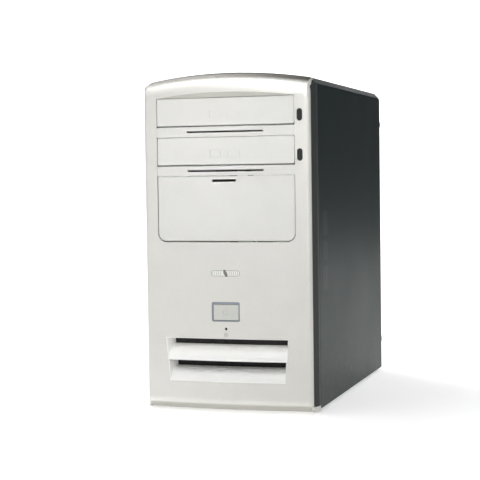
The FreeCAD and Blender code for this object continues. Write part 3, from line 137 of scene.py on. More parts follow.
class Graph:
    """The node tree of one material, ending in one Principled shader."""

    def __init__(self, name: str) -> None:
        """Starts an empty material.

        Args:
            name: the material's name.
        """
        self.material = bpy.data.materials.new(name)
        self.material.use_nodes = True
        self.tree = self.material.node_tree
        self.tree.nodes.clear()
        self.shader = self.tree.nodes.new("ShaderNodeBsdfPrincipled")
        output = self.tree.nodes.new("ShaderNodeOutputMaterial")
        self.tree.links.new(self.shader.outputs[0], output.inputs[0])

    def node(self, kind: str, settings: dict, inputs: dict, output: int | str = 0) -> Value:
        """Adds a node: its settings first, then its inputs.

        Args:
            kind: the node's type.
            settings: attributes to set; "stops" sets a ramp's positions and colours.
            inputs: socket names or numbers to values or links.
            output: the output socket to return.

        Returns:
            The chosen output.
        """
        made = self.tree.nodes.new(kind)
        for key, setting in settings.items():
            if key == "stops":
                self._set_stops(made.color_ramp, setting)
            else:
                setattr(made, key, setting)
        for key, value in inputs.items():
            if isinstance(value, Value):
                self.tree.links.new(value.socket, made.inputs[key])
            else:
                made.inputs[key].default_value = value
        return Value(self, made.outputs[output])

    @staticmethod
    def _set_stops(ramp: bpy.types.ColorRamp, stops: list[tuple[float, Colour]]) -> None:
        """Gives a ramp its stops.

        Args:
            ramp: the ramp to fill.
            stops: pairs of position and colour, in rising order.
        """
        while len(ramp.elements) < len(stops):
            ramp.elements.new(1.0)
        for element, (place, colour) in zip(ramp.elements, stops):
            element.position = place
            element.color = (*colour, 1.0)

    def math(self, operation: str, *terms: Number) -> Value:
        """Adds a Math node over its terms."""
        return self.node("ShaderNodeMath", {"operation": operation}, dict(enumerate(terms)))

    def place(self) -> Value:
        """The point being shaded, in the frame's axes at rest."""
        return self.node("ShaderNodeTexCoord", {}, {}, "Object")

    def stretched(self, scale: Point) -> Value:
        """The point being shaded, scaled along each axis."""
        return self.node("ShaderNodeVectorMath", {"operation": "MULTIPLY"}, {0: self.place(), 1: scale})

    def axis(self, name: str) -> Value:
        """One coordinate of the point being shaded."""
        return self.node("ShaderNodeSeparateXYZ", {}, {0: self.place()}, name)

    def upward(self) -> Value:
        """How far the surface faces up, from -1 to 1."""
        normal = self.node("ShaderNodeNewGeometry", {}, {}, "Normal")
        return self.node("ShaderNodeSeparateXYZ", {}, {0: normal}, "Z")

    def noise(self, scale: float, detail: float = 2.0, vector: Value | None = None) -> Value:
        """Adds a noise texture.

        Args:
            scale: features per metre.
            detail: octaves.
            vector: where to read it, or None for the point being shaded.

        Returns:
            A value from 0 to 1.
        """
        where = self.place() if vector is None else vector
        return self.node("ShaderNodeTexNoise", {}, {"Vector": where, "Scale": scale, "Detail": detail}, 0)

    def cells(self, scale: float, output: str = "Color", vector: Value | None = None) -> Value:
        """Adds a Voronoi texture of so many cells per metre."""
        where = self.place() if vector is None else vector
        return self.node("ShaderNodeTexVoronoi", {}, {"Vector": where, "Scale": scale}, output)

    def ramp(self, value: Value, *stops: tuple[float, Colour]) -> Value:
        """Colours a value through a ramp."""
        return self.node("ShaderNodeValToRGB", {"stops": list(stops)}, {0: value})

    def smooth(self, value: Value, low: float, high: float) -> Value:
        """Maps low..high to 0..1, clamped and eased."""
        return self.node("ShaderNodeMapRange", {"interpolation_type": "SMOOTHSTEP"},
                         {0: value, 1: low, 2: high, 3: 0.0, 4: 1.0})

    def mix(self, share: Number, first: "Value | Colour", second: "Value | Colour") -> Value:
        """Mixes two colours.

        Args:
            share: how much of the second, from 0 to 1.
            first: a colour or a link.
            second: a colour or a link.

        Returns:
            The mixed colour.
        """
        sides = [c if isinstance(c, Value) else (*c, 1.0) for c in (first, second)]
        return self.node("ShaderNodeMix", {"data_type": "RGBA"}, {0: share, 6: sides[0], 7: sides[1]}, 2)

    def inside(self, axis: str, low: float, high: float, soft: float = 0.0002) -> Value:
        """1 between two coordinates on an axis, easing to 0 over a short distance."""
        along = self.axis(axis)
        return self.smooth(along, low - soft, low) * (1 - self.smooth(along, high, high + soft))

    def stripes(self, along: Value, count: float, gap: float) -> Value:
        """1 on each of so many stripes per metre, and 0 in the gap before it."""
        return self.math("FRACT", along * count) > gap

    def bump(self, height: Value, distance: float, strength: float = 1.0) -> Value:
        """Turns a height into a normal."""
        return self.node("ShaderNodeBump", {}, {"Strength": strength, "Distance": distance, "Height": height})

    def finish(self, **inputs: "Number | Colour") -> bpy.types.Material:
        """Sets the shader's inputs and returns the material.

        Args:
            inputs: socket names, with underscores for spaces, to values or links.

        Returns:
            The finished material.
        """
        for key, value in inputs.items():
            socket = self.shader.inputs[key.replace("_", " ")]
            if isinstance(value, Value):
                self.tree.links.new(value.socket, socket)
            elif isinstance(value, tuple) and len(value) == 3 and socket.type == "RGBA":
                socket.default_value = (*value, 1.0)
            else:
                socket.default_value = value
        return self.material


# ---------------------------------------------------------------- finishes
@dataclass(frozen=True)
class SatinPaint:
    """Silver paint on moulded plastic, with fine metal flake under a thin clear coat.

    With shade painted on, the paint is darker on up-facing faces behind the crown of the top edge, from a
    given height up, as painted shade for the dark reflection there, and darker on faces that look down, as
    painted shade under overhangs.
    """

    name: str
    colour: Colour
    metal: float = 0.5
    rough: float = 0.40
    coat: float = 0.12
    shade_painted: bool = False
    crown_height: float = 0.3
    crown_painted_shade: Colour = (0.075, 0.068, 0.055)
    underside_painted_shade: Colour = (0.30, 0.29, 0.25)

    def build(self) -> bpy.types.Material:
        """Makes the material."""
        g = Graph(self.name)
        glint = g.node("ShaderNodeSeparateColor", {}, {0: g.cells(5200.0, "Color")}, 0)
        cloud = g.noise(38.0, 3.0)
        dark = tuple(c * 0.93 for c in self.colour)
        light = tuple(min(1.0, c * 1.045) for c in self.colour)
        tone = g.mix(g.smooth(glint * 0.6 + cloud * 0.4, 0.15, 0.85), dark, light)
        if self.shade_painted:
            # Painted shade: up-facing faces above the crown height are darkened for the dark reflection
            # there, and faces that look down are darkened as shade under overhangs.
            facing = g.upward()
            crown = g.smooth(facing, 0.58, 0.84) * (g.axis("Z") > self.crown_height)
            tone = g.mix(crown, tone, self.crown_painted_shade)
            tone = g.mix(g.smooth(facing * -1.0, 0.35, 0.55) * 0.62, tone, self.underside_painted_shade)
        peel = g.noise(900.0, 1.0) * 0.6 + g.noise(5200.0, 1.0) * 0.4
        rub = g.noise(14.0, 4.0)
        return g.finish(Base_Color=tone, Metallic=g.smooth(glint, 0.2, 1.0) * 0.2 + (self.metal - 0.1),
                        Roughness=self.rough - 0.05 + rub * 0.10 + glint * 0.03, Coat_Weight=self.coat,
                        Coat_Roughness=0.22, Specular_IOR_Level=0.5, Normal=g.bump(peel, 0.00001, 0.5))


class Grain(Enum):
    """How fine a moulded plastic's surface is textured."""

    FINE = 5200.0
    SPARK = 2400.0
    SMOOTH = 700.0


@dataclass(frozen=True)
class Moulded:
    """Moulded plastic or rubber with a spark-eroded grain.

    A tip, given as an X and a height, is painted silver like the front: it lies left of the one and
    above the other.
    """

    name: str
    colour: Colour
    rough: float = 0.5
    grain: Grain = Grain.SPARK
    depth: float = 0.00002
    coat: float = 0.0
    tip: tuple[float, float] | None = None

    def build(self) -> bpy.types.Material:
        """Makes the material."""
        g = Graph(self.name)
        fine = g.noise(self.grain.value, 2.0)
        cloud = g.noise(30.0, 4.0)
        dark = tuple(c * 0.86 for c in self.colour)
        light = tuple(min(1.0, c * 1.10 + 0.002) for c in self.colour)
        tone = g.mix(g.smooth(cloud * 0.7 + fine * 0.3, 0.3, 0.7), dark, light)
        if self.tip is not None:
            tone = g.mix((g.axis("X") < self.tip[0]) * (g.axis("Z") > self.tip[1]), tone, SILVER)
        return g.finish(Base_Color=tone, Roughness=self.rough - 0.06 + cloud * 0.12, Coat_Weight=self.coat,
                        Coat_Roughness=0.15, Normal=g.bump(fine, self.depth, 0.6))


@dataclass(frozen=True)
class PowderCoat:
    """Fine powder coat on sheet steel, a little dusty low down, with faint printed bars on one flank.

    Low down it is painted lighter and warmer: a painted reflection of the floor's light.
    """

    name: str
    colour: Colour
    rough: float = 0.36
    bars: bool = False
    floor_light_tint: Colour = (2.7, 2.4, 1.75)
    dust_tone: Colour = (0.34, 0.33, 0.31)
    ink: Colour = (0.55, 0.56, 0.57)

    def build(self) -> bpy.types.Material:
        """Makes the material."""
        g = Graph(self.name)
        pebble = g.noise(2600.0, 2.0) * 0.6 + g.cells(1500.0, "Distance") * 0.4
        cloud = g.noise(9.0, 5.0)
        dark = tuple(c * 0.92 for c in self.colour)
        light = tuple(c * 1.10 for c in self.colour)
        tone = g.mix(g.smooth(cloud, 0.3, 0.7), dark, light)
        # Painted reflection of the floor's light: lighter and warmer towards the bottom.
        floor_light_mask = 1 - g.smooth(g.axis("Z"), 0.02, 0.30)
        tone = g.mix(floor_light_mask, tone, tuple(c * k for c, k in zip(self.colour, self.floor_light_tint)))
        dust = (1 - g.smooth(g.axis("Z"), 0.0, 0.12)) * g.smooth(g.noise(120.0, 5.0), 0.42, 0.8) * 0.12
        tone = g.mix(dust, tone, self.dust_tone)
        if self.bars:
            tone = g.mix(self._bars(g) * 0.10, tone, self.ink)
        return g.finish(Base_Color=tone, Roughness=self.rough - 0.05 + cloud * 0.10 + dust * 0.3,
                        Specular_IOR_Level=0.06, Normal=g.bump(pebble, 0.00003, 0.5))

    @staticmethod
    def _bars(g: Graph) -> Value:
        """Three groups of short plain strokes standing in for printing on the right panel.

        Args:
            g: the material's graph.

        Returns:
            1 on a stroke, 0 elsewhere.
        """
        strokes = g.stripes(g.axis("Z"), 480.0, 0.38)
        rows = g.stripes(g.axis("Y") - SEAM_Y, 125.0, 0.5)
        groups = [(0.131, 0.156), (0.163, 0.184), (0.190, 0.217)]
        field = sum((g.inside("Z", low, high) for low, high in groups[1:]), g.inside("Z", *groups[0]))
        outside = g.axis("X") > CAD_BOX[1][0] - 0.0004
        return strokes * rows * field * g.inside("Y", SEAM_Y + 0.016, SEAM_Y + 0.038) * outside


@dataclass(frozen=True)
class ZincPlate:
    """Zinc-plated sheet steel with a pale spangle and rolling marks."""

    name: str
    colour: Colour = (0.62, 0.64, 0.65)
    rough: float = 0.36

    def build(self) -> bpy.types.Material:
        """Makes the material."""
        g = Graph(self.name)
        spangle = g.node("ShaderNodeSeparateColor", {}, {0: g.cells(170.0, "Color")}, 0)
        rolled = g.noise(90.0, 3.0, g.stretched((14.0, 14.0, 0.8)))
        share = g.smooth(spangle * 0.6 + rolled * 0.5, 0.2, 0.9)
        tone = g.mix(share, tuple(c * 0.84 for c in self.colour), tuple(c * 1.1 for c in self.colour))
        return g.finish(Base_Color=tone, Metallic=0.9, Roughness=self.rough - 0.08 + spangle * 0.14,
                        Normal=g.bump(rolled, 0.00002, 0.35))


@dataclass(frozen=True)
class BareMetal:
    """Machined or plated metal with fine lay lines along one axis."""

    name: str
    colour: Colour
    rough: float = 0.3
    lay: Point = (0.5, 30.0, 30.0)

    def build(self) -> bpy.types.Material:
        """Makes the material."""
        g = Graph(self.name)
        lines = g.noise(120.0, 3.0, g.stretched(self.lay))
        stain = g.noise(60.0, 4.0)
        tone = g.mix(g.smooth(lines * 0.6 + stain * 0.4, 0.3, 0.7), tuple(c * 0.86 for c in self.colour),
                     tuple(min(1.0, c * 1.08) for c in self.colour))
        return g.finish(Base_Color=tone, Metallic=0.95, Roughness=self.rough - 0.05 + stain * 0.12,
                        Normal=g.bump(lines, 0.00002, 0.35))


@dataclass(frozen=True)
class CircuitLacquer:
    """Green lacquered board with pale tracks and tinned vias showing through."""

    name: str
    colour: Colour = (0.018, 0.11, 0.045)

    def build(self) -> bpy.types.Material:
        """Makes the material."""
        g = Graph(self.name)
        block = g.node("ShaderNodeSeparateColor", {}, {0: g.cells(85.0, "Color")}, 0)
        upright = g.stripes(g.axis("Y"), 620.0, 0.62)
        level = g.stripes(g.axis("Z"), 620.0, 0.62)
        tracks = upright * (block > 0.5) + level * (block < 0.5)
        vias = g.cells(420.0, "Distance") < 0.17
        tone = g.mix(tracks * 0.55, self.colour, (0.05, 0.21, 0.09))
        tone = g.mix(vias, tone, (0.62, 0.60, 0.52))
        return g.finish(Base_Color=tone, Metallic=vias * 0.8, Roughness=0.32 - tracks * 0.06 + vias * 0.1,
                        Coat_Weight=0.25, Coat_Roughness=0.12, Normal=g.bump(tracks + vias, 0.00004, 0.5))


@dataclass(frozen=True)
class Emblem:
    """Pale satin plate with a fine dark border, a dark facet in its middle and slim upright ribs."""

    name: str
    colour: Colour
    height: float
    half: float = 0.0131
    edge: float = 0.0030

    def build(self) -> bpy.types.Material:
        """Makes the material."""
        g = Graph(self.name)
        across, rise = g.axis("X"), g.axis("Z") - self.height
        over = g.math("MAXIMUM", abs(across) - self.half, 0.0)
        reach = (over * over + rise * rise) ** 0.5
        border = g.smooth(reach, self.edge - 0.0005, self.edge - 0.0002) * (
            1 - g.smooth(reach, self.edge + 0.0001, self.edge + 0.0004))
        facet = g.smooth(0.0024 - abs(across + rise * 0.35) - abs(rise) * 0.35, 0.0, 0.0003)
        ribs = g.stripes(across, 420.0, 0.62) * (reach < self.edge - 0.0009) * (abs(across) > 0.0034)
        dark = g.math("MINIMUM", border * 0.7 + facet * 0.85 + ribs * 0.38, 1.0)
        tone = g.mix(dark, self.colour, (0.045, 0.045, 0.038))
        return g.finish(Base_Color=tone, Metallic=0.3 - dark * 0.25, Roughness=g.noise(700.0) * 0.12 + 0.3,
                        Coat_Weight=0.3, Coat_Roughness=0.1, Normal=g.bump(1 - dark, 0.00012, 0.6))


@dataclass(frozen=True)
class OpenFoam:
    """Black open-celled filter foam."""

    name: str

    def build(self) -> bpy.types.Material:
        """Makes the material."""
        g = Graph(self.name)
        pores = g.cells(900.0, "Distance")
        # Painted shade: each pore is darker towards its middle, for the shade in the foam's hollows.
        tone = g.ramp(pores, (0.1, (0.002, 0.002, 0.002)), (0.6, (0.035, 0.034, 0.033)))
        return g.finish(Base_Color=tone, Roughness=0.92, Normal=g.bump(pores, 0.0006, 1.0))


@dataclass(frozen=True)
class TintedLens:
    """Small translucent lamp cover, dark until lit."""

    name: str
    colour: Colour

    def build(self) -> bpy.types.Material:
        """Makes the material."""
        g = Graph(self.name)
        rings = g.math("SINE", g.axis("X") * 9000.0) * 0.5 + 0.5
        tone = g.mix(rings * 0.3, self.colour, tuple(c * 1.4 for c in self.colour))
        return g.finish(Base_Color=tone, Roughness=g.noise(300.0) * 0.1 + 0.12, Coat_Weight=0.6,
                        Coat_Roughness=0.05, Normal=g.bump(rings, 0.00003, 0.4))


SILVER = (0.735, 0.725, 0.685)
FINISHES = {
    # The front's silver carries painted shade on the top edge's crown and on faces that look down.
    "silver_shell": SatinPaint("silver_front_paint_with_painted_shade", SILVER, shade_painted=True),
    "silver_bay": SatinPaint("silver_bay_paint", (0.755, 0.750, 0.718)),
    # The louvres' paint is far lighter than the front's silver: a painted highlight of the light from above
    # on the blades.
    "louvre_silver": SatinPaint("louvre_paint_with_painted_highlight", (0.97, 0.965, 0.94), metal=0.1, rough=0.46),
    "ring": SatinPaint("blue_grey_ring_paint", (0.30, 0.325, 0.36), metal=0.5, rough=0.34),
    "power_silver": SatinPaint("green_silver_button_paint", (0.62, 0.63, 0.585), metal=0.4, rough=0.38),
    "badge": Emblem("badge_plate_finish", (0.84, 0.84, 0.78), height=0.1516),
    "dark_trim": Moulded("dark_trim_plastic", (0.014, 0.018, 0.018), grain=Grain.FINE, tip=(-0.09, 0.345)),
    "black_plastic": Moulded("black_moulding", (0.012, 0.012, 0.013), rough=0.42, grain=Grain.FINE),
    "tray_plastic": Moulded("tray_moulding", (0.032, 0.033, 0.036), rough=0.4),
    "fan_black": Moulded("fan_frame_moulding", (0.011, 0.011, 0.012), rough=0.38, grain=Grain.SMOOTH),
    "fan_grey": Moulded("fan_rotor_moulding", (0.045, 0.046, 0.048), rough=0.34, grain=Grain.SMOOTH),
    "socket_plastic": Moulded("socket_moulding", (0.62, 0.60, 0.52), rough=0.4, grain=Grain.SMOOTH),
    "board_parts": Moulded("chip_moulding", (0.016, 0.017, 0.020), rough=0.42, grain=Grain.FINE, coat=0.1),
    "foot_rubber": Moulded("foot_rubber_compound", (0.014, 0.014, 0.014), rough=0.78),
    "lead_jacket": Moulded("lead_sleeve", (0.014, 0.014, 0.015), rough=0.5, grain=Grain.SMOOTH),
    "rocker_black": Moulded("rocker_moulding", (0.012, 0.012, 0.012), rough=0.22, grain=Grain.SMOOTH,
                            coat=0.4),
    "selector_red": Moulded("selector_moulding", (0.42, 0.02, 0.015), rough=0.3, grain=Grain.SMOOTH,
                            coat=0.3),
    "zinc_steel": ZincPlate("zinc_steel_sheet"),
    "port_metal": ZincPlate("nickel_shell", (0.66, 0.66, 0.65), rough=0.28),
    "charcoal_steel": PowderCoat("charcoal_powder_coat", (0.0065, 0.0135, 0.0152), bars=True),
    "screw_steel": BareMetal("screw_plating", (0.60, 0.60, 0.61), rough=0.26),
    "chrome_wire": BareMetal("guard_chrome", (0.78, 0.79, 0.80), rough=0.12),
    "heatsink": BareMetal("milled_aluminium", (0.80, 0.81, 0.82), rough=0.3, lay=(30.0, 0.6, 30.0)),
    "disk_casting": BareMetal("cast_aluminium", (0.58, 0.59, 0.60), rough=0.45, lay=(8.0, 8.0, 8.0)),
    "circuit_board": CircuitLacquer("board_lacquer"),
    "filter_foam": OpenFoam("filter_foam_cells"),
    "lens": TintedLens("lamp_cover", (0.05, 0.05, 0.052)),
}


# ---------------------------------------------------------------- mesh helpers
def at(x: float, y: float, z: float) -> Vector:
    """A point given in millimetres: right of the middle, behind the front's side edges, above the floor."""
    return Vector((x * MM, FACE_Y + y * MM, z * MM))


def new_piece(name: str, mesh: bpy.types.Mesh, body: str, slot: str,
              material: bpy.types.Material | None = None) -> bpy.types.Object:
    """Links a mesh as a piece of the tower.

    Args:
        name: the piece's name.
        mesh: its mesh, in the frame's axes.
        body: the body that it rides on.
        slot: its material slot in the record.
        material: its own material, or None for the slot's.

    Returns:
        The new object.
    """
    piece = bpy.data.objects.new(name, mesh)
    bpy.context.scene.collection.objects.link(piece)
    mesh.materials.append(MATERIALS[slot] if material is None else material)
    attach(piece, body)
    LOG.info("made %s", name)
    return piece


def mesh_from(name: str, work: bmesh.types.BMesh, sharp: float = 32.0) -> bpy.types.Mesh:
    """Turns a bmesh into a smooth-shaded mesh with its sharp edges kept.

    Args:
        name: the mesh's name.
        work: the bmesh, which is freed.
        sharp: the angle in degrees from which an edge stays sharp.

    Returns:
        The mesh.
    """
    bmesh.ops.recalc_face_normals(work, faces=work.faces)
    mesh = bpy.data.meshes.new(name)
    work.to_mesh(mesh)
    work.free()
    mesh.shade_smooth()
    mesh.set_sharp_from_angle(angle=math.radians(sharp))
    return mesh


def add_modifier(piece: bpy.types.Object, kind: str, **settings: object) -> None:
    """Adds a modifier with its settings."""
    made = piece.modifiers.new(kind.lower(), kind)
    for key, value in settings.items():
        setattr(made, key, value)


def soften(node: str, width: float, sharp: float = 30.0) -> None:
    """Replaces a node by a copy of itself whose hard edges are broken, as moulding and pressing leave them.

    Args:
        node: the CAD node.
        width: the width of the broken edge, in metres.
        sharp: the angle in degrees from which an edge is broken.
    """
    source = frame["nodes"][node]
    work = bmesh.new()
    work.from_mesh(source.data)
    bmesh.ops.remove_doubles(work, verts=work.verts, dist=2e-6)
    bmesh.ops.dissolve_limit(work, angle_limit=math.radians(0.4), verts=work.verts, edges=work.edges)
    mesh = mesh_from(node + "_surface", work, sharp)
    piece = new_piece(node + "_dressed", mesh, BODY_OF[node], SLOTS[node])
    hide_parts(node)
    add_modifier(piece, "BEVEL", width=width, segments=2, limit_method="ANGLE",
                 angle_limit=math.radians(sharp), harden_normals=False, use_clamp_overlap=True)
    add_modifier(piece, "WEIGHTED_NORMAL", keep_sharp=False, weight=80)


def smooth_node(node: str, sharp: float = 30.0) -> None:
    """Shades a kept CAD node smoothly, with its sharp edges kept."""
    piece = frame["nodes"][node]
    piece.data.shade_smooth()
    add_modifier(piece, "WELD", merge_threshold=2e-6)
    add_modifier(piece, "EDGE_SPLIT", split_angle=math.radians(sharp), use_edge_sharp=False)


def add_block(work: bmesh.types.BMesh, low: Point, high: Point) -> None:
    """Adds a block between two corners."""
    made = [work.verts.new((x, y, z)) for x in (low[0], high[0])
            for y in (low[1], high[1]) for z in (low[2], high[2])]
    for ring in ((0, 1, 3, 2), (4, 6, 7, 5), (0, 4, 5, 1), (2, 3, 7, 6), (0, 2, 6, 4), (1, 5, 7, 3)):
        work.faces.new([made[i] for i in ring])


def add_turned(work: bmesh.types.BMesh, profile: list[tuple[float, float]], place: Matrix,
               sides: int) -> None:
    """Adds a closed turned form.

    Args:
        work: the bmesh to add to.
        profile: (radius, height) pairs from the first end to the last, both on the axis.
        place: where the form's own Z axis goes.
        sides: facets round it.
    """
    rings = []
    for radius, height in profile:
        count = 1 if radius == 0 else sides
        rings.append([work.verts.new(place @ Vector((radius * math.cos(2 * math.pi * k / sides),
                                                      radius * math.sin(2 * math.pi * k / sides), height)))
                      for k in range(count)])
    for first, second in zip(rings, rings[1:]):
        for k in range(sides):
            after = (k + 1) % sides
            loop = [first[k % len(first)], first[after % len(first)],
                    second[after % len(second)], second[k % len(second)]]
            work.faces.new(list(dict.fromkeys(loop)))


def add_sheet(work: bmesh.types.BMesh, rows: list[list[Vector]], closed: bool = False) -> None:
    """Adds a grid of faces over rows of points.

    Args:
        work: the bmesh to add to.
        rows: rows of equal length.
        closed: whether the last row joins the first.
    """
    made = [[work.verts.new(p) for p in row] for row in rows]
    pairs = list(zip(made, made[1:])) + ([(made[-1], made[0])] if closed else [])
    for first, second in pairs:
        for k in range(len(first) - 1):
            work.faces.new((first[k], first[k + 1], second[k + 1], second[k]))


def smooth_route(points: list[Point], samples: int = 16) -> list[Vector]:
    """The points of a lead's smooth line.

    Args:
        points: control points chosen along the route.
        samples: points per span.

    Returns:
        Points read along a NURBS spline through those controls.
    """
    curve = bpy.data.curves.new("route", "CURVE")
    curve.dimensions = "3D"
    curve.resolution_u = samples
    spline = curve.splines.new("NURBS")
    spline.points.add(len(points) - 1)
    for spot, point in zip(spline.points, points):
        spot.co = (*point, 1.0)
    spline.order_u = 3
    spline.use_endpoint_u = True
    holder = bpy.data.objects.new("route", curve)
    line = bpy.data.meshes.new_from_object(holder)
    result = [v.co.copy() for v in line.vertices]
    bpy.data.objects.remove(holder)
    bpy.data.curves.remove(curve)
    bpy.data.meshes.remove(line)
    return result


def add_tube(work: bmesh.types.BMesh, line: list[Vector], radius: float, sides: int = 8) -> None:
    """Adds a closed tube along a line of points.

    Args:
        work: the bmesh to add to.
        line: points along its middle.
        radius: its radius.
        sides: facets round it.
    """
    rings = []
    across = Vector((0.3, 0.2, 1.0))
    for before, point, after in zip([line[0]] + line, line, line[1:] + [line[-1]]):
        along = (after - before).normalized()
        across = (across - along * across.dot(along)).normalized()
        third = along.cross(across)
        rings.append([work.verts.new(point + radius * (across * math.cos(2 * math.pi * k / sides)
                                                       + third * math.sin(2 * math.pi * k / sides)))
                      for k in range(sides)])
    for first, second in zip(rings, rings[1:]):
        for k in range(sides):
            work.faces.new((first[k], first[(k + 1) % sides], second[(k + 1) % sides], second[k]))
    work.faces.new(rings[0])
    work.faces.new(list(reversed(rings[-1])))


def front_rise(x: float, half: float = 94.0, rise: float = 6.0) -> float:
    """How far the front's crown stands forward of its side edges, in millimetres, at a given X."""
    radius = (half ** 2 + rise ** 2) / (2 * rise)
    return rise - radius + math.sqrt(radius ** 2 - x ** 2)


FACING_LEFT = Matrix(((0, 0, -1), (0, 1, 0), (1, 0, 0))).to_4x4()
SLOTS = {row["node"]: row["material_slot"] for row in frame["record"]["subparts"]}
BODY_OF = {node: body for body, nodes in frame["record"]["behaviour"]["bodies"].items() for node in nodes}
MATERIALS = {slot: finish.build() for slot, finish in FINISHES.items()}
FACE_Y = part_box("front_bezel")[0].y + 0.006      # plane of the front's side edges


# ---------------------------------------------------------------- sub-assemblies
@dataclass
class Carcass:
    """Front moulding, trims, steel box and everything else whose shape the frame already gives."""

    moulded: dict[str, float] = field(default_factory=lambda: {
        "front_bezel": 0.35, "bezel_trims": 0.25, "bay_strips": 0.3, "upper_tray_front": 0.3,
        "lower_tray_front": 0.3, "bay_door": 0.35, "badge_plate": 0.2, "power_button_ring": 0.3,
        "power_button": 0.25, "eject_button_upper": 0.2, "eject_button_lower": 0.2, "bay_liner": 0.3,
        "front_port_sockets": 0.2, "upper_tray": 0.3, "lower_tray": 0.3, "floppy_eject_button": 0.2})
    pressed: dict[str, float] = field(default_factory=lambda: {
        "top_cover": 0.3, "side_panel_right": 0.25, "side_panel_left": 0.25, "rear_panel": 0.15,
        "chassis_front": 0.15, "chassis_base": 0.15, "drive_cage": 0.15, "slot_covers": 0.15,
        "io_shield": 0.12, "psu_case": 0.25, "optical_drive_upper": 0.25, "optical_drive_lower": 0.25,
        "floppy_drive": 0.25, "hard_disk": 0.3, "rear_io_ports": 0.12, "power_inlet": 0.2,
        "psu_switch_rocker": 0.2, "voltage_selector": 0.12, "feet": 0.2})

    def build(self) -> None:
        """Breaks the edges of moulded and pressed parts and dresses every other node."""
        for node, width in {**self.moulded, **self.pressed}.items():
            soften(node, width * MM)
            LOG.info("softened %s", node)
        for node, piece in frame["nodes"].items():
            if piece.hide_render:
                continue
            piece.data.materials.clear()
            piece.data.materials.append(MATERIALS[SLOTS[node]])
            smooth_node(node)
            LOG.info("dressed %s", node)


@dataclass
class FanRotor:
    """A moulded rotor: a hub cap and swept, cambered blades. Lengths are in millimetres."""

    node: str
    centre: Point
    radius: float
    depth: float
    across: bool = False
    blades: int = 7

    def build(self) -> None:
        """Makes the rotor in place of its plain node."""
        work = bmesh.new()
        place = self._place()
        hub = self.radius * 0.435
        cap = [(0, 0.2), (hub - 2.2, 0.0), (hub - 0.7, 0.5), (hub, 1.7), (hub, self.depth),
               (hub - 1.4, self.depth), (hub - 1.4, 2.4), (0, 2.4)]
        add_turned(work, [(r * MM, h * MM) for r, h in cap], place, 48)
        for count in range(self.blades):
            self._blade(work, place, hub, 2 * math.pi * count / self.blades)
        piece = new_piece(self.node + "_moulding", mesh_from(self.node, work, 40.0), BODY_OF[self.node],
                          SLOTS[self.node])
        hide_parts(self.node)

    def _place(self) -> Matrix:
        """Where the rotor's own axes go: its Z axis runs from its front to its back."""
        axes = ((0, -1, 0), (0, 0, -1), (1, 0, 0)) if self.across else ((1, 0, 0), (0, 0, -1), (0, 1, 0))
        return Matrix.Translation(at(*self.centre)) @ Matrix(axes).transposed().to_4x4()

    def _blade(self, work: bmesh.types.BMesh, place: Matrix, hub: float, start: float) -> None:
        """Adds one blade as a closed loft of thin rounded sections.

        Args:
            work: the bmesh to add to.
            place: where the rotor's own axes go.
            hub: the hub's radius.
            start: the blade's angle at its root.
        """
        stations, around, size = 9, 14, self.radius / 36.8
        rows = []
        for step in range(stations):
            share = step / (stations - 1)
            out = hub - 0.4 + (self.radius - 0.2 - hub) * share
            pitch = math.radians(50 - 21 * share)
            chord, thick = (13 + 9 * share) * size, 1.5 - 0.6 * share
            row = []
            for k in range(around + 1):
                turn = 2 * math.pi * k / around
                along, off = math.cos(turn) * chord / 2, math.sin(turn) * thick / 2
                off += 0.07 * chord * (1 - (2 * along / chord) ** 2)
                side = along * math.cos(pitch) - off * math.sin(pitch)
                high = self.depth / 2 + 0.8 + along * math.sin(pitch) + off * math.cos(pitch)
                angle = start + 0.30 * share ** 1.5 + side / out
                row.append(place @ (Vector((math.cos(angle) * out, math.sin(angle) * out, high)) * MM))
            rows.append(row)
        add_sheet(work, rows)
        for row in (rows[0], rows[-1]):
            work.faces.new([work.verts.new(p) for p in row[:-1]])
        bmesh.ops.remove_doubles(work, verts=work.verts, dist=1e-7)


@dataclass
class Harness:
    """A bundle of twisted wires with ties round it, and its plugs. Lengths are in millimetres."""

    node: str
    route: list[Point]
    reach: float
    strands: int
    plugs: list[tuple[Point, Point]]
    ties: tuple[float, ...] = (0.22, 0.5, 0.78)

    def build(self) -> None:
        """Makes the bundle in place of its plain node."""
        work = bmesh.new()
        line = smooth_route([tuple(at(*p)) for p in self.route], 6)
        thick = self.reach * math.sin(math.pi / self.strands) / (1 + math.sin(math.pi / self.strands))
        for count in range(self.strands):
            add_tube(work, self._strand(line, (self.reach - thick) * MM, count), thick * MM * 0.97, 7)
        add_tube(work, line, (self.reach - 2 * thick) * MM, 7)
        for share in self.ties:
            k = int(share * (len(line) - 1))
            add_tube(work, [line[k], line[k].lerp(line[k + 1], 0.6)], (self.reach + 0.15) * MM, 20)
        for low, high in self.plugs:
            self._plug(work, low, high)
        piece = new_piece(self.node + "_wires", mesh_from(self.node, work, 40.0), BODY_OF[self.node],
                          SLOTS[self.node])
        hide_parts(self.node)

    def _strand(self, line: list[Vector], reach: float, count: int) -> list[Vector]:
        """The middle line of one wire, laid in a slow twist round the bundle.

        Args:
            line: the bundle's middle line.
            reach: how far the wire lies from it.
            count: which wire this is.

        Returns:
            Points along the wire.
        """
        spots, run = [], 0.0
        across = Vector((0.3, 0.2, 1.0))
        for before, point, after in zip([line[0]] + line, line, line[1:] + [line[-1]]):
            along = (after - before).normalized()
            across = (across - along * across.dot(along)).normalized()
            angle = 2 * math.pi * count / self.strands + run * 34.0
            spots.append(point + reach * (across * math.cos(angle) + along.cross(across) * math.sin(angle)))
            run += (after - point).length
        return spots

    @staticmethod
    def _plug(work: bmesh.types.BMesh, low: Point, high: Point) -> None:
        """Adds a plug's housing with a raised rib round its middle."""
        first, last = at(*low), at(*high)
        rim = 0.5 * MM
        add_block(work, tuple(first + Vector((rim, rim, rim))), tuple(last - Vector((rim, rim, rim))))
        third = (last.z - first.z) / 3
        for start in (first.z + third * 0.2, first.z + third * 1.9):
            add_block(work, (first.x, first.y, start), (last.x, last.y, start + third * 0.9))


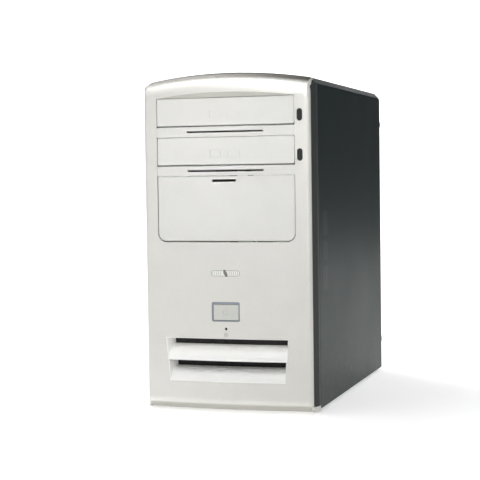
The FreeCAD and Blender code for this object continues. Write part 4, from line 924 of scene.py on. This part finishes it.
@dataclass
class BoardParts:
    """Everything soldered to the main board and the cards. Lengths are in millimetres."""

    face: float = 77.4
    seed: int = 11
    chips: tuple[tuple[Span, Span, float], ...] = (
        ((145, 175), (62, 92), 2.0), ((320, 334), (60, 74), 1.6), ((180, 196), (30, 44), 1.6),
        ((296, 304), (226, 234), 6.0), ((296, 304), (238, 246), 6.0))

    def build(self) -> None:
        """Makes the chips, capacitors, cell, bridge cooler and memory chips."""
        self._chips()
        self._capacitors()
        self._cell()
        self._cooler()
        self._card_chips()

    def _chips(self) -> None:
        """Chips with their rows of legs, in place of the plain components, and a scatter of small parts."""
        body, legs = bmesh.new(), bmesh.new()
        for y, z, high in self.chips:
            add_block(body, at(self.face - high, y[0] + 0.8, z[0] + 0.8),
                      at(self.face - 0.3, y[1] - 0.8, z[1] - 0.8))
            for k in range(y[1] - y[0] - 3):
                for side in (z[0], z[1] - 0.9):
                    start = y[0] + 1.8 + k
                    add_block(legs, at(self.face - 0.7, start, side), at(self.face, start + 0.45, side + 0.9))
        draw = random.Random(self.seed)
        for _ in range(150):
            y, z = draw.uniform(108, 340), draw.uniform(20, 255)
            if self._taken(y, z):
                continue
            long_way = draw.random() < 0.5
            wide, tall = (1.8, 0.9) if long_way else (0.9, 1.8)
            add_block(body, at(self.face - 0.6, y, z), at(self.face, y + wide, z + tall))
        add_block(body, at(self.face - 4, 128, 108), at(self.face, 141, 118))
        piece = new_piece("board_chips", mesh_from("board_chips", body), "case", "board_parts")
        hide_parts("board_components")
        add_modifier(piece, "BEVEL", width=0.00012, segments=2)
        new_piece("chip_legs", mesh_from("chip_legs", legs), "case", "port_metal")

    @staticmethod
    def _taken(y: float, z: float) -> bool:
        """Whether a spot on the board lies under the processor, the memory, the cards or the sockets."""
        under_cooler = 226 < y < 308 and 150 < z < 230
        under_memory = 183 < y < 208 and z > 92
        return under_cooler or under_memory or (y > 212 and z < 96) or (y > 318 and z > 98)

    def _capacitors(self) -> None:
        """Electrolytic capacitors: crimped sleeves, and bright tops scored with a cross."""
        sleeves, tops = bmesh.new(), bmesh.new()
        cans = [(4.0, 12.0, 312, 152 + 10 * n) for n in range(9)]
        cans += [(3.2, 9.0, 178, 100 + 16 * n) for n in range(7)]
        for radius, high, y, z in cans:
            place = Matrix.Translation(at(self.face, y, z)) @ FACING_LEFT
            r, top = radius * MM, high * MM
            add_turned(sleeves, [(0, 0), (r, 0), (r, 0.0012), (r * 0.9, 0.0017), (r, 0.0023),
                                 (r, top - 0.0004), (r * 0.86, top), (r * 0.84, top - 0.0003),
                                 (0, top - 0.0003)], place, 28)
            add_turned(tops, [(0, top - 0.00025), (r * 0.84, top - 0.00025), (r * 0.84, top - 0.0001),
                              (0, top - 0.00005)], place, 28)
            for spin in (0.4, 0.4 + math.pi / 2):
                score = Matrix.Rotation(spin, 4, "Z")
                line = [place @ score @ Vector((k * r * 0.6, 0, top - 0.00005)) for k in (-1, 0, 1)]
                add_tube(tops, line, 0.00012, 6)
        new_piece("capacitor_sleeves", mesh_from("capacitor_sleeves", sleeves), "case", "board_parts")
        new_piece("capacitor_tops", mesh_from("capacitor_tops", tops), "case", "heatsink")

    def _cell(self) -> None:
        """The clock's button cell in its holder."""
        work = bmesh.new()
        place = Matrix.Translation(at(self.face, 145, 40)) @ FACING_LEFT
        add_turned(work, [(0, 0), (0.0100, 0), (0.0100, 0.0026), (0.0096, 0.0030), (0.0088, 0.0031),
                          (0.0086, 0.0034), (0, 0.0034)], place, 44)
        new_piece("button_cell", mesh_from("button_cell", work), "case", "screw_steel")

    def _cooler(self) -> None:
        """Finned cooler on the bridge chip."""
        work = bmesh.new()
        add_block(work, at(self.face - 5, 216, 112), at(self.face - 0.4, 254, 150))
        for n in range(9):
            start = 216 + 4.6 * n
            for z in (112.0, 131.8):
                add_block(work, at(self.face - 14, start, z), at(self.face - 4.9, start + 1.4, z + 18.2))
        new_piece("bridge_cooler", mesh_from("bridge_cooler", work), "case", "heatsink")

    @staticmethod
    def _card_chips() -> None:
        """Black chips over the plain ones on the memory modules and the card."""
        work = bmesh.new()
        for y in (190.0, 200.5):
            for n in range(8):
                z = 105 + 15.6 * n
                add_block(work, at(46.9, y - 1.8, z - 0.1), at(60.1, y - 0.5, z + 10.1))
        for x, y in (((19.9, 40.1), (239.9, 260.1)), ((45.9, 56.1), (269.9, 284.1))):
            add_block(work, at(x[0], y[0], 68.2), at(x[1], y[1], 70.1))
        piece = new_piece("card_chips", mesh_from("card_chips", work), "case", "board_parts")
        add_modifier(piece, "BEVEL", width=0.00015, segments=2)


@dataclass
class Lamps:
    """The two domed lamp covers under the power button, in millimetres."""

    dark: Point = (0.0, 91.5, 1.47)
    clear: Point = (0.0, 84.8, 2.27)
    clear_finish: Moulded = Moulded("clear_lamp_cover", (0.60, 0.59, 0.55), rough=0.22, grain=Grain.SMOOTH,
                                    coat=0.6)

    def build(self) -> None:
        """Makes the covers: the dark one stands in for the plain pins."""
        for name, (x, z, radius), material in (("disk_lamp", self.dark, None),
                                                ("power_lamp", self.clear, self.clear_finish.build())):
            work = bmesh.new()
            turn = Matrix(((1, 0, 0), (0, 0, -1), (0, 1, 0))).to_4x4()
            place = Matrix.Translation(at(x, -front_rise(x), z)) @ turn
            dome = [(0, -6.0), (radius, -6.0), (radius, -0.25), (radius * 0.9, -0.08), (radius * 0.6, 0.0),
                    (0, 0.0)]
            add_turned(work, [(r * MM, h * MM - 0.0001) for r, h in dome], place, 36)
            piece = new_piece(name, mesh_from(name, work, 50.0), "case", "lens", material)
            if name == "disk_lamp":
                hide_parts("indicator_lenses")


# ---------------------------------------------------------------- stage, light and camera
@dataclass(frozen=True)
class Panel:
    """A soft rectangular light: where it stands and aims, its size, its watts and its spread in degrees."""

    name: str
    place: Point
    aim: Point
    size: tuple[float, float]
    power: float
    spread: float = 180.0

    def build(self) -> None:
        """Makes the light."""
        data = bpy.data.lights.new(self.name, "AREA")
        data.spread = math.radians(self.spread)
        data.shape = "RECTANGLE"
        data.size, data.size_y = self.size
        data.energy = self.power
        light = bpy.data.objects.new(self.name, data)
        light.location = self.place
        light.rotation_euler = (Vector(self.aim) - Vector(self.place)).to_track_quat("-Z", "Y").to_euler()
        bpy.context.scene.collection.objects.link(light)


@dataclass
class Studio:
    """A pale floor that glows a little and runs up into a backdrop, and soft light."""

    floor_colour: Colour = (0.96, 0.96, 0.96)
    glow: float = 0.52
    air: float = 0.13
    reach: float = 6.0
    backdrop_right: float = 0.25
    panels: tuple[Panel, ...] = (
        Panel("key_panel", (1.5, -1.9, 0.75), (0.05, -0.18, 0.1), (0.9, 0.9), 5.0),
        Panel("canopy_panel", (-0.5, -0.85, 2.3), (-0.1, -0.3, 0.2), (2.8, 1.1), 27.0),
        Panel("brow_panel", (0.35, -1.5, 1.3), (-0.02, -0.18, 0.340), (0.4, 0.2), 0.36, 18.0),
        Panel("fill_panel", (-2.4, -1.6, 1.2), (0.0, -0.1, 0.2), (1.4, 1.8), 2.0),
        Panel("backdrop_panel", (-1.6, 1.6, 2.6), (-1.0, 2.6, 0.4), (2.6, 1.2), 70.0))

    def build(self) -> None:
        """Makes the floor, the world and the lights."""
        self._floor()
        self._world()
        for panel in self.panels:
            panel.build()
        bpy.context.scene.view_settings.view_transform = "Standard"
        LOG.info("lit the studio")

    def _floor(self) -> None:
        """A large pale floor, with a backdrop curving up behind the left of it."""
        work = bmesh.new()
        turn, radius, height = 3.0, 0.6, 1.35
        rise = [(turn + math.sin(a) * radius, radius - math.cos(a) * radius)
                for a in (math.radians(9 * k) for k in range(11))]
        rise.append((turn + radius, height))
        for profile, left, right in (([(-self.reach, 0.0), (turn, 0.0)], -self.reach, self.reach),
                                     (rise, -self.reach, self.backdrop_right)):
            add_sheet(work, [[Vector((x, y, z + FLOOR_Z)) for x in (left, right)] for y, z in profile])
        mesh = mesh_from("seamless_floor", work, 60.0)
        floor = bpy.data.objects.new("seamless_floor", mesh)
        bpy.context.scene.collection.objects.link(floor)
        g = Graph("floor_paper")
        speck = g.noise(55.0, 4.0)
        shade = tuple(c * 0.99 for c in self.floor_colour)
        tone = g.mix(g.smooth(speck, 0.3, 0.7), shade, self.floor_colour)
        mesh.materials.append(g.finish(Base_Color=tone, Roughness=0.8, Emission_Color=(1.0, 1.0, 1.0),
                                       Emission_Strength=self.glow))

    def _world(self) -> None:
        """Even pale light from all round."""
        world = bpy.data.worlds.new("studio_air")
        world.use_nodes = True
        background = world.node_tree.nodes["Background"]
        background.inputs["Color"].default_value = (1.0, 1.0, 1.0, 1.0)
        background.inputs["Strength"].default_value = self.air
        bpy.context.scene.world = world


@dataclass
class Viewpoint:
    """The camera, standing low to the right of the front."""

    place: Point = (0.45029, -1.56749, 0.2568)
    yaw: float = 17.37
    pitch: float = -2.73
    roll: float = -0.79
    lens: float = 101.74

    def build(self) -> None:
        """Makes the scene's camera."""
        data = bpy.data.cameras.new("viewpoint")
        data.lens = self.lens
        data.sensor_width = 36.0
        camera = bpy.data.objects.new("viewpoint", data)
        level = Matrix.Rotation(math.radians(self.yaw), 4, "Z") @ Matrix.Rotation(
            math.radians(90 + self.pitch), 4, "X") @ Matrix.Rotation(math.radians(self.roll), 4, "Z")
        camera.matrix_world = Matrix.Translation(self.place) @ level
        bpy.context.scene.collection.objects.link(camera)
        bpy.context.scene.camera = camera
        LOG.info("placed the camera")


# Both leads' routes in millimetres, from the drive's or the supply's end to the board.
SUPPLY_ROUTE = [(55, 209.2, 290), (55, 200, 282), (55, 197, 263), (56, 186, 248), (58, 168, 240),
                (59, 149, 229), (59.5, 133, 215), (60, 121, 205)]
DRIVE_ROUTE = [(-38, 192.4, 272.1), (-35, 199.6, 260.6), (-22, 198.6, 238.6), (0, 194.6, 218.6),
               (24, 189.6, 200.6), (47, 183.8, 182.6), (60, 172.6, 167.6), (62, 151.6, 155.6),
               (63, 132.6, 147.6), (64, 116.4, 143.6)]


def main() -> None:
    """Builds every sub-assembly in order, then the studio."""
    Viewpoint().build()
    FanRotor("rear_fan_rotor", (-28, 325.45, 205), 36.8, 19.5).build()
    FanRotor("psu_fan_rotor", (-23, 324.35, 313), 36.8, 19.5).build()
    FanRotor("cpu_fan_rotor", (19.9, 270, 190), 31.8, 9.5, across=True).build()
    Harness("power_lead", SUPPLY_ROUTE, 4.0, 9, [((55.5, 112.6, 175.6), (64.3, 121.4, 226.4))]).build()
    Harness("data_lead", DRIVE_ROUTE, 3.2, 8, [((-61.5, 184.6, 268), (-6.5, 192.6, 276.2)),
                                               ((60, 108.4, 116.6), (68.3, 116.6, 171.4))]).build()
    BoardParts().build()
    Lamps().build()
    Carcass().build()
    Studio().build()


if __name__ == "__main__":
    logging.basicConfig(level=logging.INFO, format="%(name)s: %(message)s")
    main()
